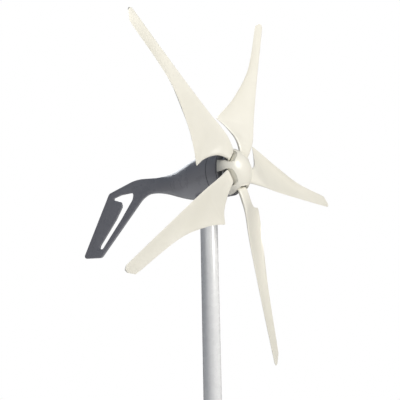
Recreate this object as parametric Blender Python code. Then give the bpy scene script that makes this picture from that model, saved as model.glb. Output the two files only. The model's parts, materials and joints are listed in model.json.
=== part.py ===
"""Small five-blade wind turbine on a flanged mast, as an assembly of separate solids.

Frame: metres, +Z up, origin at the middle of the base plate's underside, on the yaw axis.
+X points upwind, to the rotor's side. The shaft axis is level and crosses the yaw axis at
HUB_HEIGHT. Pieces of the head are modelled about that crossing and hang from two empties:
one on the yaw axis and one on the shaft axis.
"""
import math

import bmesh
import bpy
from mathutils import Matrix, Vector

GAP = 0.0003              # between faces that touch on the real machine

# Overall sizes
HUB_HEIGHT = 1.20
ROTOR_RADIUS = 0.650
BLADE_COUNT = 5
BLADE_PHASE = math.radians(-54.8)      # angle of the first blade's tip from +Z, towards +Y

# Blade outline, as (distance out from the shaft, offset towards the leading edge, place on X)
TAB_INNER = 0.024         # where a blade's root tab starts
TAB_OUTER = 0.0465        # where the flat tab turns into the neck
TAB_HALF_INNER = 0.0140
TAB_LEADING = 0.0220
TAB_TRAILING = -0.0160
TAB_THICKNESS = 0.008
LEADING_CURVE = ((0.0625, 0.0310, 0.1275), (0.0950, 0.0338, 0.1362), (0.1400, 0.0347, 0.1398),
                 (0.2400, 0.0328, 0.1303), (0.4200, 0.0268, 0.1222),
                 (ROTOR_RADIUS, 0.0195, 0.1155))
INNER_CURVE = ((0.0625, -0.0170, 0.1285), (0.0800, -0.0235, 0.1280), (0.1090, -0.0440, 0.1190),
               (0.1320, -0.0820, 0.1030), (0.1395, -0.1215, 0.0935))
TRAILING_CURVE = ((0.1470, -0.1205, 0.0950), (0.1900, -0.0995, 0.1050), (0.2650, -0.0690, 0.1150),
                  (0.4100, -0.0310, 0.1215), (ROTOR_RADIUS - 0.010, -0.0200, 0.1122))
CORNER_PARTNER = 0.200    # leading edge station that faces the trailing corner
NECK_THICKNESS = 0.012
CORNER_THICKNESS = 0.0095
TIP_THICKNESS = 0.0045
CAMBER = 0.035            # of the chord, bulging downwind
SECTION = ((0.0, 0.0), (0.03, 0.55), (0.16, 0.96), (0.38, 1.0), (0.68, 0.74), (0.96, 0.30))

# Spinner: half an ellipsoid with a notch for each blade
SPINNER_RADIUS = 0.080
SPINNER_HEIGHT = 0.066
SPINNER_WALL = 0.0025
SPINNER_RIM_X = 0.095
NOTCH_INNER = 0.052
NOTCH_LEADING = 0.0345
NOTCH_TRAILING = -0.0240
NOTCH_CORNER = 0.012
POST_CIRCLE = 0.058
POST_RADIUS = 0.0042

# Hub stack on the shaft
HUB_RADIUS = 0.066
HUB_THICKNESS = 0.006
HUB_BACK_X = 0.104
CLAMP_RADIUS = 0.0455
CLAMP_THICKNESS = 0.004
STUD_CIRCLE = 0.0310
STUD_OFFSET = 0.001       # of studs and dowels, towards the leading edge
DOWEL_CIRCLE = 0.0405
DOWEL_RADIUS = 0.0025
BLADE_NUT_ACROSS = 0.013
BLADE_NUT_HEIGHT = 0.0065
SHAFT_NUT_ACROSS = 0.024
SHAFT_NUT_HEIGHT = 0.013

# Shaft and generator
SHAFT_RADIUS = 0.010
HUB_SEAT_RADIUS = 0.0085
SHAFT_BACK_X = 0.0285
SHAFT_STEP_X = 0.1035
NOSE_RADIUS = 0.008
KEY_WIDTH = 0.005
KEY_HEIGHT = 0.005
CORE_RADIUS = 0.040
CORE_BACK_X = 0.0555
CORE_LENGTH = 0.024
MAGNET_COUNT = 10
MAGNET_THICKNESS = 0.004
MAGNET_FILL = 0.86
MAGNET_FLOOR = 0.0012     # left under the grooves between poles
AIR_GAP = 0.0008
STATOR_TEETH = 12
STATOR_YOKE = 0.007
TOOTH_HALF_WIDTH = 0.0042
COIL_THICKNESS = 0.0036
COIL_OVERHANG = 0.0042
COIL_CLEARANCE = 0.0017   # to the yoke, which the square coil's corners come near
RING_RADIUS = 0.0785
RING_WALL = 0.008
RING_BACK_X = 0.048
RING_FRONT_X = 0.088
COVER_FRONT_X = 0.0975
COVER_WALL = 0.004
COVER_EDGE = 0.0035       # rounding of the front cover's rim
SPIGOT_RADIUS = 0.0720
SPIGOT_DEPTH = 0.005

# Bearings: bore radius, outer radius, width, ball radius, ball count
FRONT_BEARING = (SHAFT_RADIUS, 0.0235, 0.014, 0.0040, 8)
REAR_BEARING = (SHAFT_RADIUS, 0.0210, 0.012, 0.0032, 9)
RACE_THICKNESS = 0.0022
BALL_PLAY = 0.0006
CAGE_HALF = 0.0008        # half the thickness of the ring that carries the balls
FRONT_BEARING_X = 0.0825
REAR_BEARING_X = 0.0315
YAW_LOWER_Z = -0.1077
YAW_UPPER_Z = -0.0600

# Nacelle casting: sections as (x, half width, height above the axis, depth below it)
SECTIONS = ((0.048, 0.0785, 0.0785, 0.0785), (0.010, 0.0760, 0.0755, 0.0780),
            (-0.035, 0.0680, 0.0680, 0.0740), (-0.080, 0.0540, 0.0560, 0.0650),
            (-0.125, 0.0370, 0.0450, 0.0500), (-0.170, 0.0220, 0.0380, 0.0330),
            (-0.215, 0.0110, 0.0380, 0.0210), (-0.262, 0.0048, 0.0400, 0.0160))
CASTING_WALL = 0.004
CAVITY_BACK_X = -0.100
LIP_RADIUS = 0.068
LIP_BACK_X = 0.030
NECK_OUTER = 0.0345
NECK_BOTTOM_Z = -0.114
NECK_TOP_Z = -0.046
NECK_SHOULDER = 0.0245
FIN_THICKNESS = 0.009
FIN_CORNERS = ((-0.190, 0.0330, 0.0), (-0.325, 0.0500, 0.20), (-0.462, 0.0180, 0.016),
               (-0.590, -0.2140, 0.010), (-0.495, -0.2210, 0.020), (-0.294, -0.0300, 0.060),
               (-0.262, -0.0165, 0.050), (-0.190, -0.0200, 0.0))
SLOT_CORNERS = ((-0.449, -0.0060, 0.004), (-0.400, 0.0030, 0.060), (-0.338, 0.0020, 0.010),
                (-0.342, -0.0230, 0.020), (-0.397, -0.0890, 0.050), (-0.489, -0.1880, 0.004),
                (-0.507, -0.1880, 0.004), (-0.503, -0.1750, 0.006), (-0.425, -0.0870, 0.030),
                (-0.394, -0.0420, 0.016), (-0.400, -0.0240, 0.008))

# Yaw shaft, slip ring and brushes
YAW_SHAFT_RADIUS = 0.015
YAW_BEARING = (YAW_SHAFT_RADIUS, 0.0275, 0.013, 0.0036, 11)
YAW_BORE_RADIUS = 0.009
YAW_SHOULDER_RADIUS = 0.0195
YAW_SHAFT_TOP_Z = -0.010
FLANGE_RADIUS = 0.052
FLANGE_THICKNESS = 0.008
FLANGE_TOP_Z = -0.1170
YAW_NUT_RADIUS = 0.0205
YAW_NUT_HEIGHT = 0.007
SEAL_HEIGHT = 0.0050
SLEEVE_RADIUS = 0.0195
SLEEVE_BOTTOM_Z = -0.0380
SLEEVE_TOP_Z = -0.0110
RING_COUNT = 3
RING_PITCH = 0.0085
RING_WIDTH = 0.0045
SLIP_RING_RADIUS = 0.0230
BRUSH_WIDTH = 0.0050
BRUSH_HEIGHT = 0.0040
BRUSH_LENGTH = 0.0200
HOLDER_INNER_Y = 0.0290
HOLDER_OUTER_Y = 0.0575
HOLDER_HALF_WIDTH = 0.0080

# Mast
MAST_RADIUS = 0.0288
MAST_WALL = 0.003
M8_RADIUS = 0.004
M8_HEAD_ACROSS = 0.013
M8_HEAD_HEIGHT = 0.0053
M8_NUT_HEIGHT = 0.0065
FLANGE_BOLT_CIRCLE = 0.043
FLANGE_BOLT_COUNT = 4
BASE_SIDE = 0.240
BASE_THICKNESS = 0.010
BASE_CORNER = 0.018
ANCHOR_SPACING = 0.180
ANCHOR_HOLE_RADIUS = 0.007
GUSSET_HEIGHT = 0.090
GUSSET_LENGTH = 0.060
GUSSET_THICKNESS = 0.006
CABLE_EXIT_Z = 0.150
CABLE_HOLE_RADIUS = 0.009
GROMMET_RIM = 0.012
GROMMET_BORE = 0.005

# Places that follow from the sizes above
HUB_FRONT_X = HUB_BACK_X + HUB_THICKNESS
TAB_BACK_X = HUB_FRONT_X + GAP
TAB_MIDDLE_X = TAB_BACK_X + TAB_THICKNESS / 2
CLAMP_BACK_X = TAB_BACK_X + TAB_THICKNESS + GAP
CLAMP_FRONT_X = CLAMP_BACK_X + CLAMP_THICKNESS
SHAFT_NUT_X = CLAMP_FRONT_X + GAP
NOSE_END_X = SHAFT_NUT_X + SHAFT_NUT_HEIGHT + 0.004
MAGNET_RADIUS = CORE_RADIUS + GAP + MAGNET_THICKNESS
STATOR_BORE = MAGNET_RADIUS + AIR_GAP
STATOR_OUTER = RING_RADIUS - RING_WALL - GAP
FLANGE_BOTTOM_Z = FLANGE_TOP_Z - FLANGE_THICKNESS
MAST_FLANGE_TOP_Z = FLANGE_BOTTOM_Z - GAP
MAST_FLANGE_BOTTOM_Z = MAST_FLANGE_TOP_Z - FLANGE_THICKNESS

ROUND = 24                # sides of large round pieces, the same on each so that they nest
RACE_SIDES = 20           # sides of bearing rings and other pieces of that size
SMALL_ROUND = 12
HOLE_SIDES = 10
CORNER_STEPS = 3


# Materials

def make_material(name, colour, roughness, metallic):
    material = bpy.data.materials.new(name)
    material.use_nodes = True
    shader = material.node_tree.nodes["Principled BSDF"]
    shader.inputs["Base Color"].default_value = (*colour, 1.0)
    shader.inputs["Roughness"].default_value = roughness
    shader.inputs["Metallic"].default_value = metallic
    return material


def make_materials():
    recipes = {
        "ivory_nylon": ((0.76, 0.73, 0.64), 0.30, 0.0),
        "slate_paint": ((0.115, 0.125, 0.155), 0.32, 0.0),
        "white_paint": ((0.70, 0.71, 0.72), 0.28, 0.0),
        "cast_aluminium": ((0.60, 0.61, 0.62), 0.45, 1.0),
        "zinc_steel": ((0.62, 0.62, 0.60), 0.35, 1.0),
        "bearing_steel": ((0.66, 0.66, 0.67), 0.18, 1.0),
        "core_steel": ((0.22, 0.22, 0.23), 0.50, 1.0),
        "nickel": ((0.72, 0.70, 0.66), 0.22, 1.0),
        "copper": ((0.72, 0.30, 0.13), 0.35, 1.0),
        "brass": ((0.78, 0.60, 0.28), 0.25, 1.0),
        "carbon": ((0.03, 0.03, 0.03), 0.60, 0.0),
        "black_rubber": ((0.03, 0.03, 0.03), 0.70, 0.0),
        "phenolic": ((0.16, 0.07, 0.04), 0.45, 0.0),
    }
    return {name: make_material(name, *recipe) for name, recipe in recipes.items()}


# Building blocks

def finish_mesh(shape, name):
    bmesh.ops.recalc_face_normals(shape, faces=shape.faces)
    mesh = bpy.data.meshes.new(name)
    shape.to_mesh(mesh)
    shape.free()
    return mesh


def add_piece(name, shape, material, parent, smooth=True):
    """Makes one named piece from a bmesh, hung from an empty."""
    mesh = shape if isinstance(shape, bpy.types.Mesh) else finish_mesh(shape, name)
    piece = bpy.data.objects.new(name, mesh)
    bpy.context.collection.objects.link(piece)
    if not mesh.materials:
        mesh.materials.append(material)
    if smooth:
        mesh.shade_smooth()
        mesh.set_sharp_from_angle(angle=math.radians(35))
    piece.parent = parent
    return piece


def add_tool(name, shape, parent):
    """Makes a shape that only cuts or joins another one."""
    tool = bpy.data.objects.new(name, finish_mesh(shape, name))
    bpy.context.collection.objects.link(tool)
    tool.parent = parent
    tool.hide_render = True
    tool.display_type = "WIRE"
    return tool


def combine(piece, tool, operation):
    step = piece.modifiers.new(tool.name, "BOOLEAN")
    step.operation = operation
    step.solver = "EXACT"
    step.object = tool


def turned(outline, axis, sides):
    """Turns a closed outline of (place along the axis, radius) about +X or +Z."""
    shape = bmesh.new()
    if axis == "X":
        corners = [shape.verts.new((along, 0.0, radius)) for along, radius in outline]
    else:
        corners = [shape.verts.new((radius, 0.0, along)) for along, radius in outline]
    edges = [shape.edges.new((corner, corners[i - 1])) for i, corner in enumerate(corners)]
    about = (1, 0, 0) if axis == "X" else (0, 0, 1)
    bmesh.ops.spin(shape, geom=corners + edges, cent=(0, 0, 0), axis=about,
                   angle=2 * math.pi, steps=sides, use_merge=True)
    bmesh.ops.remove_doubles(shape, verts=shape.verts, dist=1e-6)
    flat = [edge for edge in shape.edges if not edge.link_faces]
    bmesh.ops.delete(shape, geom=flat, context="EDGES")
    return shape


def tube(low, high, inner, outer, axis, sides=ROUND):
    return turned(((low, inner), (high, inner), (high, outer), (low, outer)), axis, sides)


def rod(low, high, radius, axis, sides=SMALL_ROUND):
    return turned(((low, 0.0), (high, 0.0), (high, radius), (low, radius)), axis, sides)


def hexagon_ring(low, high, across, bore, axis):
    """A hexagon nut: six flats outside and a plain round bore."""
    shape = bmesh.new()
    sides = 12
    rings = []
    for along in (low, high):
        inner = []
        outer = []
        for step in range(sides):
            angle = 2 * math.pi * step / sides
            reach = across / math.sqrt(3) if step % 2 == 0 else across / 2
            for ring, radius in ((inner, bore), (outer, reach)):
                u = radius * math.cos(angle)
                v = radius * math.sin(angle)
                place = (along, u, v) if axis == "X" else (u, v, along)
                ring.append(shape.verts.new(place))
        rings.append((inner, outer))
    (low_in, low_out), (high_in, high_out) = rings
    for i in range(sides):
        j = (i + 1) % sides
        shape.faces.new((low_in[i], low_in[j], low_out[j], low_out[i]))
        shape.faces.new((high_in[i], high_in[j], high_out[j], high_out[i]))
        shape.faces.new((low_out[i], low_out[j], high_out[j], high_out[i]))
        shape.faces.new((low_in[i], low_in[j], high_in[j], high_in[i]))
    return shape


def box(low, high):
    shape = bmesh.new()
    bmesh.ops.create_cube(shape, size=1.0)
    size = Vector(high) - Vector(low)
    middle = (Vector(high) + Vector(low)) / 2
    bmesh.ops.transform(shape, matrix=Matrix.Diagonal((*size, 1.0)), verts=shape.verts)
    bmesh.ops.translate(shape, vec=middle, verts=shape.verts)
    return shape


def moved(shape, offset=(0, 0, 0), turn=0.0, axis="X"):
    bmesh.ops.translate(shape, vec=offset, verts=shape.verts)
    bmesh.ops.transform(shape, matrix=Matrix.Rotation(turn, 4, axis), verts=shape.verts)
    return shape


def gather(shapes):
    """Puts separate solids into one shape; they stay separate."""
    whole = bmesh.new()
    for shape in shapes:
        mesh = finish_mesh(shape, "part")
        whole.from_mesh(mesh)
        bpy.data.meshes.remove(mesh)
    return whole


def around(count, make, axis="X", start=0.0):
    """Repeats a shape evenly about an axis."""
    turns = [start + 2 * math.pi * step / count for step in range(count)]
    return gather([moved(make(), turn=turn, axis=axis) for turn in turns])


def rounded_outline(corners, steps=CORNER_STEPS):
    """Rounds each (u, v, radius) corner of a closed outline with an arc."""
    points = []
    count = len(corners)
    for i, (u, v, radius) in enumerate(corners):
        here = Vector((u, v))
        if radius <= 0:
            points.append(here)
            continue
        back = (Vector(corners[i - 1][:2]) - here).normalized()
        ahead = (Vector(corners[(i + 1) % count][:2]) - here).normalized()
        half = back.angle(ahead) / 2
        reach = radius / math.tan(half)
        centre = here + (back + ahead).normalized() * radius / math.sin(half)
        first = here + back * reach - centre
        last = here + ahead * reach - centre
        sweep = math.atan2(first.x * last.y - first.y * last.x, first.dot(last))
        for step in range(steps + 1):
            angle = sweep * step / steps
            turn = Matrix.Rotation(angle, 2)
            points.append(centre + turn @ first)
    return points


def plate(outline, plane, low, high):
    """Extrudes a closed outline: plane XZ along Y, YZ along X, XY along Z."""
    shape = bmesh.new()
    place = {
        "XZ": lambda p, depth: (p[0], depth, p[1]),
        "YZ": lambda p, depth: (depth, p[0], p[1]),
        "XY": lambda p, depth: (p[0], p[1], depth),
    }[plane]
    face = shape.faces.new([shape.verts.new(place(point, low)) for point in outline])
    grown = bmesh.ops.extrude_face_region(shape, geom=[face])["geom"]
    fresh = [item for item in grown if isinstance(item, bmesh.types.BMVert)]
    along = Vector(place((0, 0), high)) - Vector(place((0, 0), low))
    bmesh.ops.translate(shape, vec=along, verts=fresh)
    return shape


def loft(sections):
    """Skins closed sections that have the same number of points, and caps both ends."""
    shape = bmesh.new()
    rings = [[shape.verts.new(point) for point in section] for section in sections]
    for ring, following in zip(rings, rings[1:]):
        for i, corner in enumerate(ring):
            before = i - 1
            shape.faces.new((ring[before], corner, following[i], following[before]))
    shape.faces.new(rings[0])
    shape.faces.new(rings[-1])
    return shape


def smooth_curve(points, share):
    """A point on a smooth curve through the given points, with share from 0 to 1."""
    spans = len(points) - 1
    place = min(share * spans, spans - 1e-9)
    first = int(place)
    part = place - first
    knots = [Vector(points[max(0, min(spans, first + step))]) for step in (-1, 0, 1, 2)]
    if first == 0:
        knots[0] = 2 * knots[1] - knots[2]
    if first == spans - 1:
        knots[3] = 2 * knots[2] - knots[1]
    before, start, end, after = knots
    return 0.5 * (2 * start + (end - before) * part
                  + (2 * before - 5 * start + 4 * end - after) * part ** 2
                  + (3 * start - before - 3 * end + after) * part ** 3)


# Blades

def reach_to_share(points, reach):
    """Where along a smooth curve the distance from the shaft passes a value."""
    low = 0.0
    high = 1.0
    for _ in range(30):
        middle = (low + high) / 2
        if smooth_curve(points, middle)[0] < reach:
            low = middle
        else:
            high = middle
    return low


def blade_section(leading, trailing, thickness, camber):
    """A closed, slightly cambered section between a leading and a trailing edge point."""
    chord = trailing - leading
    length = chord.length
    along = chord.normalized()
    upwind = Vector((0, 0, 1))
    normal = (upwind - along * upwind.dot(along)).normalized()
    points = []
    shares = list(SECTION) + [(1.0, 0.0)] + [(share, -height) for share, height in SECTION[:0:-1]]
    for share, height in shares:
        bend = -4 * camber * length * share * (1 - share)
        point = leading + chord * share + normal * (bend + height * thickness / 2)
        points.append(Vector((point.z, point.y, point.x)))
    return points


def blade_stations():
    """Pairs of facing edge points from root tab to tip, with the thickness there."""
    flat_x = TAB_MIDDLE_X
    stations = [
        (Vector((TAB_INNER, TAB_HALF_INNER, flat_x)), Vector((TAB_INNER, -TAB_HALF_INNER, flat_x)),
         TAB_THICKNESS, 0.0),
        (Vector((TAB_OUTER, TAB_LEADING, flat_x)), Vector((TAB_OUTER, TAB_TRAILING, flat_x)),
         TAB_THICKNESS, 0.0),
    ]
    corner_share = reach_to_share(LEADING_CURVE, CORNER_PARTNER)
    inner_steps = 6
    for step in range(inner_steps):
        part = step / (inner_steps - 1)
        leading = smooth_curve(LEADING_CURVE, corner_share * part)
        trailing = smooth_curve(INNER_CURVE, part)
        thickness = NECK_THICKNESS + (CORNER_THICKNESS - NECK_THICKNESS) * part
        stations.append((leading, trailing, thickness, CAMBER * part))
    outer_steps = 8
    outer_start = corner_share + 0.02
    for step in range(outer_steps):
        part = step / (outer_steps - 1)
        leading = smooth_curve(LEADING_CURVE, outer_start + (1 - outer_start) * part)
        trailing = smooth_curve(TRAILING_CURVE, part ** 1.25)
        thickness = CORNER_THICKNESS + (TIP_THICKNESS - CORNER_THICKNESS) * part
        stations.append((leading, trailing, thickness, CAMBER))
    return stations


def blade_shape():
    return loft([blade_section(*station) for station in blade_stations()])


# Rotor

def add_blades(spin_axis, material):
    mesh = finish_mesh(blade_shape(), "blade")
    for number in range(BLADE_COUNT):
        blade = add_piece(f"blade_{number + 1}", mesh, material, spin_axis)
        blade.rotation_euler.x = -(BLADE_PHASE + 2 * math.pi * number / BLADE_COUNT)


def spinner_outline():
    """Profile from the rim round the apex and back along the inner face."""
    steps = 6
    inner_radius = SPINNER_RADIUS - SPINNER_WALL
    inner_height = SPINNER_HEIGHT - SPINNER_WALL
    outer = []
    inner = []
    for step in range(steps + 1):
        angle = math.pi / 2 * step / steps
        outer.append((SPINNER_RIM_X + SPINNER_HEIGHT * math.sin(angle),
                      SPINNER_RADIUS * math.cos(angle)))
        inner.append((SPINNER_RIM_X + inner_height * math.sin(angle),
                      inner_radius * math.cos(angle)))
    outer[-1] = (outer[-1][0], 0.0)
    inner[-1] = (inner[-1][0], 0.0)
    return outer + inner[::-1]


def spinner_height_at(radius):
    return SPINNER_RIM_X + SPINNER_HEIGHT * math.sqrt(1 - (radius / SPINNER_RADIUS) ** 2)


def add_spinner(spin_axis, materials):
    spinner = add_piece("spinner", turned(spinner_outline(), "X", ROUND),
                        materials["ivory_nylon"], spin_axis)
    half_pitch = math.pi / BLADE_COUNT
    start = -BLADE_PHASE
    post_top = spinner_height_at(POST_CIRCLE + POST_RADIUS) - 0.001
    posts = around(BLADE_COUNT, lambda: moved(rod(HUB_FRONT_X + GAP, post_top, POST_RADIUS, "X", 12),
                                              (0, 0, POST_CIRCLE)), "X", start + half_pitch)
    combine(spinner, add_tool("spinner_posts", posts, spin_axis), "UNION")
    outline = rounded_outline((
        (NOTCH_LEADING, NOTCH_INNER, NOTCH_CORNER), (NOTCH_LEADING, 2 * SPINNER_RADIUS, 0),
        (NOTCH_TRAILING, 2 * SPINNER_RADIUS, 0), (NOTCH_TRAILING, NOTCH_INNER, NOTCH_CORNER)))
    top = SPINNER_RIM_X + 2 * SPINNER_HEIGHT
    notches = around(BLADE_COUNT, lambda: plate(outline, "YZ", HUB_BACK_X - 0.03, top), "X", start)
    combine(spinner, add_tool("spinner_notches", notches, spin_axis), "DIFFERENCE")


def at_blades(radius, low, high, circle):
    """A round rod at the same place on every blade's root tab."""
    return around(BLADE_COUNT, lambda: moved(rod(low, high, radius, "X", HOLE_SIDES),
                                             (0, STUD_OFFSET, circle)), "X", -BLADE_PHASE)


def bolt(low, high, shank, head_across, head_height, axis):
    """A hexagon bolt with a plain shank from low to high and its head beyond high."""
    sides = 12
    shape = bmesh.new()
    corner = head_across / math.sqrt(3)
    rings = []
    for along, radius in ((high + head_height, corner), (high, corner), (high, shank), (low, shank)):
        ring = []
        for step in range(sides):
            angle = 2 * math.pi * step / sides
            reach = head_across / 2 if radius == corner and step % 2 else radius
            u = reach * math.cos(angle)
            v = reach * math.sin(angle)
            ring.append(shape.verts.new((along, u, v) if axis == "X" else (u, v, along)))
        rings.append(ring)
    for ring, following in zip(rings, rings[1:]):
        for i in range(sides):
            shape.faces.new((ring[i - 1], ring[i], following[i], following[i - 1]))
    shape.faces.new(rings[0])
    shape.faces.new(rings[-1])
    return shape


def add_hub(spin_axis, materials):
    through = HUB_BACK_X - 0.02
    beyond = CLAMP_FRONT_X + 0.02
    root = HUB_BACK_X + 0.001
    hub = add_piece("hub_plate", tube(HUB_BACK_X, HUB_FRONT_X, HUB_SEAT_RADIUS + GAP, HUB_RADIUS, "X"),
                    materials["cast_aluminium"], spin_axis)
    nut_back = CLAMP_FRONT_X + GAP
    studs = gather([at_blades(M8_RADIUS, root, nut_back + BLADE_NUT_HEIGHT + 0.002, STUD_CIRCLE),
                    at_blades(DOWEL_RADIUS, root, CLAMP_FRONT_X, DOWEL_CIRCLE)])
    combine(hub, add_tool("blade_studs", studs, spin_axis), "UNION")
    keyway = box((through, -KEY_WIDTH / 2 - GAP, 0),
                 (beyond, KEY_WIDTH / 2 + GAP, HUB_SEAT_RADIUS + KEY_HEIGHT / 2 + GAP))
    combine(hub, add_tool("hub_keyway", keyway, spin_axis), "DIFFERENCE")
    holes = gather([at_blades(M8_RADIUS + GAP, through, beyond, STUD_CIRCLE),
                    at_blades(DOWEL_RADIUS + GAP, through, beyond, DOWEL_CIRCLE)])
    stud_holes = add_tool("stud_holes", holes, spin_axis)
    for number in range(BLADE_COUNT):
        combine(bpy.data.objects[f"blade_{number + 1}"], stud_holes, "DIFFERENCE")
    clamp = add_piece("clamp_plate", tube(CLAMP_BACK_X, CLAMP_FRONT_X, HUB_SEAT_RADIUS + GAP,
                                          CLAMP_RADIUS, "X"), materials["zinc_steel"], spin_axis)
    combine(clamp, stud_holes, "DIFFERENCE")
    nut = finish_mesh(moved(hexagon_ring(nut_back, nut_back + BLADE_NUT_HEIGHT, BLADE_NUT_ACROSS,
                                         M8_RADIUS + GAP, "X"), (0, STUD_OFFSET, STUD_CIRCLE)), "blade_nut")
    for number in range(BLADE_COUNT):
        piece = add_piece(f"blade_nut_{number + 1}", nut, materials["zinc_steel"], spin_axis)
        piece.rotation_euler.x = -(BLADE_PHASE + 2 * math.pi * number / BLADE_COUNT)
    add_piece("shaft_nut", hexagon_ring(SHAFT_NUT_X, SHAFT_NUT_X + SHAFT_NUT_HEIGHT, SHAFT_NUT_ACROSS,
                                        NOSE_RADIUS + GAP, "X"), materials["zinc_steel"], spin_axis)


def add_shaft(spin_axis, materials):
    seat_end = CLAMP_FRONT_X
    shaft = add_piece("main_shaft", turned((
        (SHAFT_BACK_X, 0.0), (NOSE_END_X, 0.0), (NOSE_END_X, NOSE_RADIUS), (seat_end, NOSE_RADIUS),
        (seat_end, HUB_SEAT_RADIUS), (SHAFT_STEP_X, HUB_SEAT_RADIUS), (SHAFT_STEP_X, SHAFT_RADIUS),
        (SHAFT_BACK_X, SHAFT_RADIUS)), "X", RACE_SIDES), materials["bearing_steel"], spin_axis)
    floor = HUB_SEAT_RADIUS - KEY_HEIGHT / 2
    keyway = box((HUB_BACK_X, -KEY_WIDTH / 2 - GAP, floor - GAP),
                 (HUB_FRONT_X, KEY_WIDTH / 2 + GAP, 2 * HUB_SEAT_RADIUS))
    combine(shaft, add_tool("shaft_keyway", keyway, spin_axis), "DIFFERENCE")
    add_piece("shaft_key", box((HUB_BACK_X + GAP, -KEY_WIDTH / 2, floor),
                               (HUB_FRONT_X - GAP, KEY_WIDTH / 2, floor + KEY_HEIGHT)),
              materials["zinc_steel"], spin_axis, smooth=False)
    add_piece("rotor_core", tube(CORE_BACK_X, CORE_BACK_X + CORE_LENGTH, SHAFT_RADIUS + GAP,
                                 CORE_RADIUS, "X"), materials["core_steel"], spin_axis)
    half_arc = math.pi / MAGNET_COUNT * MAGNET_FILL
    groove_radius = CORE_RADIUS + GAP + MAGNET_FLOOR
    outline = []
    for pole in range(MAGNET_COUNT):
        middle = 2 * math.pi * pole / MAGNET_COUNT
        for radius, offset in ((groove_radius, -half_arc), (MAGNET_RADIUS, -half_arc), (MAGNET_RADIUS, 0),
                               (MAGNET_RADIUS, half_arc), (groove_radius, half_arc)):
            outline.append((radius * math.sin(middle + offset), radius * math.cos(middle + offset)))
    ring = plate(outline, "YZ", CORE_BACK_X, CORE_BACK_X + CORE_LENGTH)
    magnets = add_piece("magnet_ring", ring, materials["nickel"], spin_axis)
    bore = rod(CORE_BACK_X - 0.01, CORE_BACK_X + CORE_LENGTH + 0.01, CORE_RADIUS + GAP, "X", ROUND)
    combine(magnets, add_tool("magnet_bore", bore, spin_axis), "DIFFERENCE")


def add_bearing(name, sizes, low, axis, holders, materials):
    """One ball bearing: outer ring, inner ring and caged balls, each with its own carrier."""
    bore, outer, width, ball_radius, count = sizes
    outer_parent, inner_parent, ball_parent = holders
    high = low + width
    middle = (low + high) / 2
    pitch = (bore + outer) / 2
    groove_half = ball_radius * 1.1
    groove_inner = pitch - ball_radius - BALL_PLAY
    groove_outer = pitch + ball_radius + BALL_PLAY
    inner_land = groove_inner + RACE_THICKNESS / 2
    outer_land = groove_outer - RACE_THICKNESS / 2
    play = GAP
    add_piece(f"{name}_inner_ring", turned((
        (low, bore + play), (high, bore + play), (high, inner_land), (middle + groove_half, inner_land),
        (middle, groove_inner), (middle - groove_half, inner_land), (low, inner_land)), axis,
        RACE_SIDES),
        materials["bearing_steel"], inner_parent)
    add_piece(f"{name}_outer_ring", turned((
        (low, outer_land), (middle - groove_half, outer_land), (middle, groove_outer),
        (middle + groove_half, outer_land), (high, outer_land), (high, outer - play),
        (low, outer - play)), axis, RACE_SIDES), materials["bearing_steel"], outer_parent)

    def ball():
        shape = bmesh.new()
        bmesh.ops.create_icosphere(shape, subdivisions=1, radius=ball_radius)
        place = (middle, 0, pitch) if axis == "X" else (pitch, 0, middle)
        return moved(shape, place)
    cage_half = ball_radius * 0.6
    cage = add_piece(f"{name}_cage", tube(middle - cage_half, middle + cage_half, pitch - CAGE_HALF,
                                          pitch + CAGE_HALF, axis, 16), materials["brass"], ball_parent)
    combine(cage, add_tool(f"{name}_balls", around(count, ball, axis), ball_parent), "UNION")


# Generator housing

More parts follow.
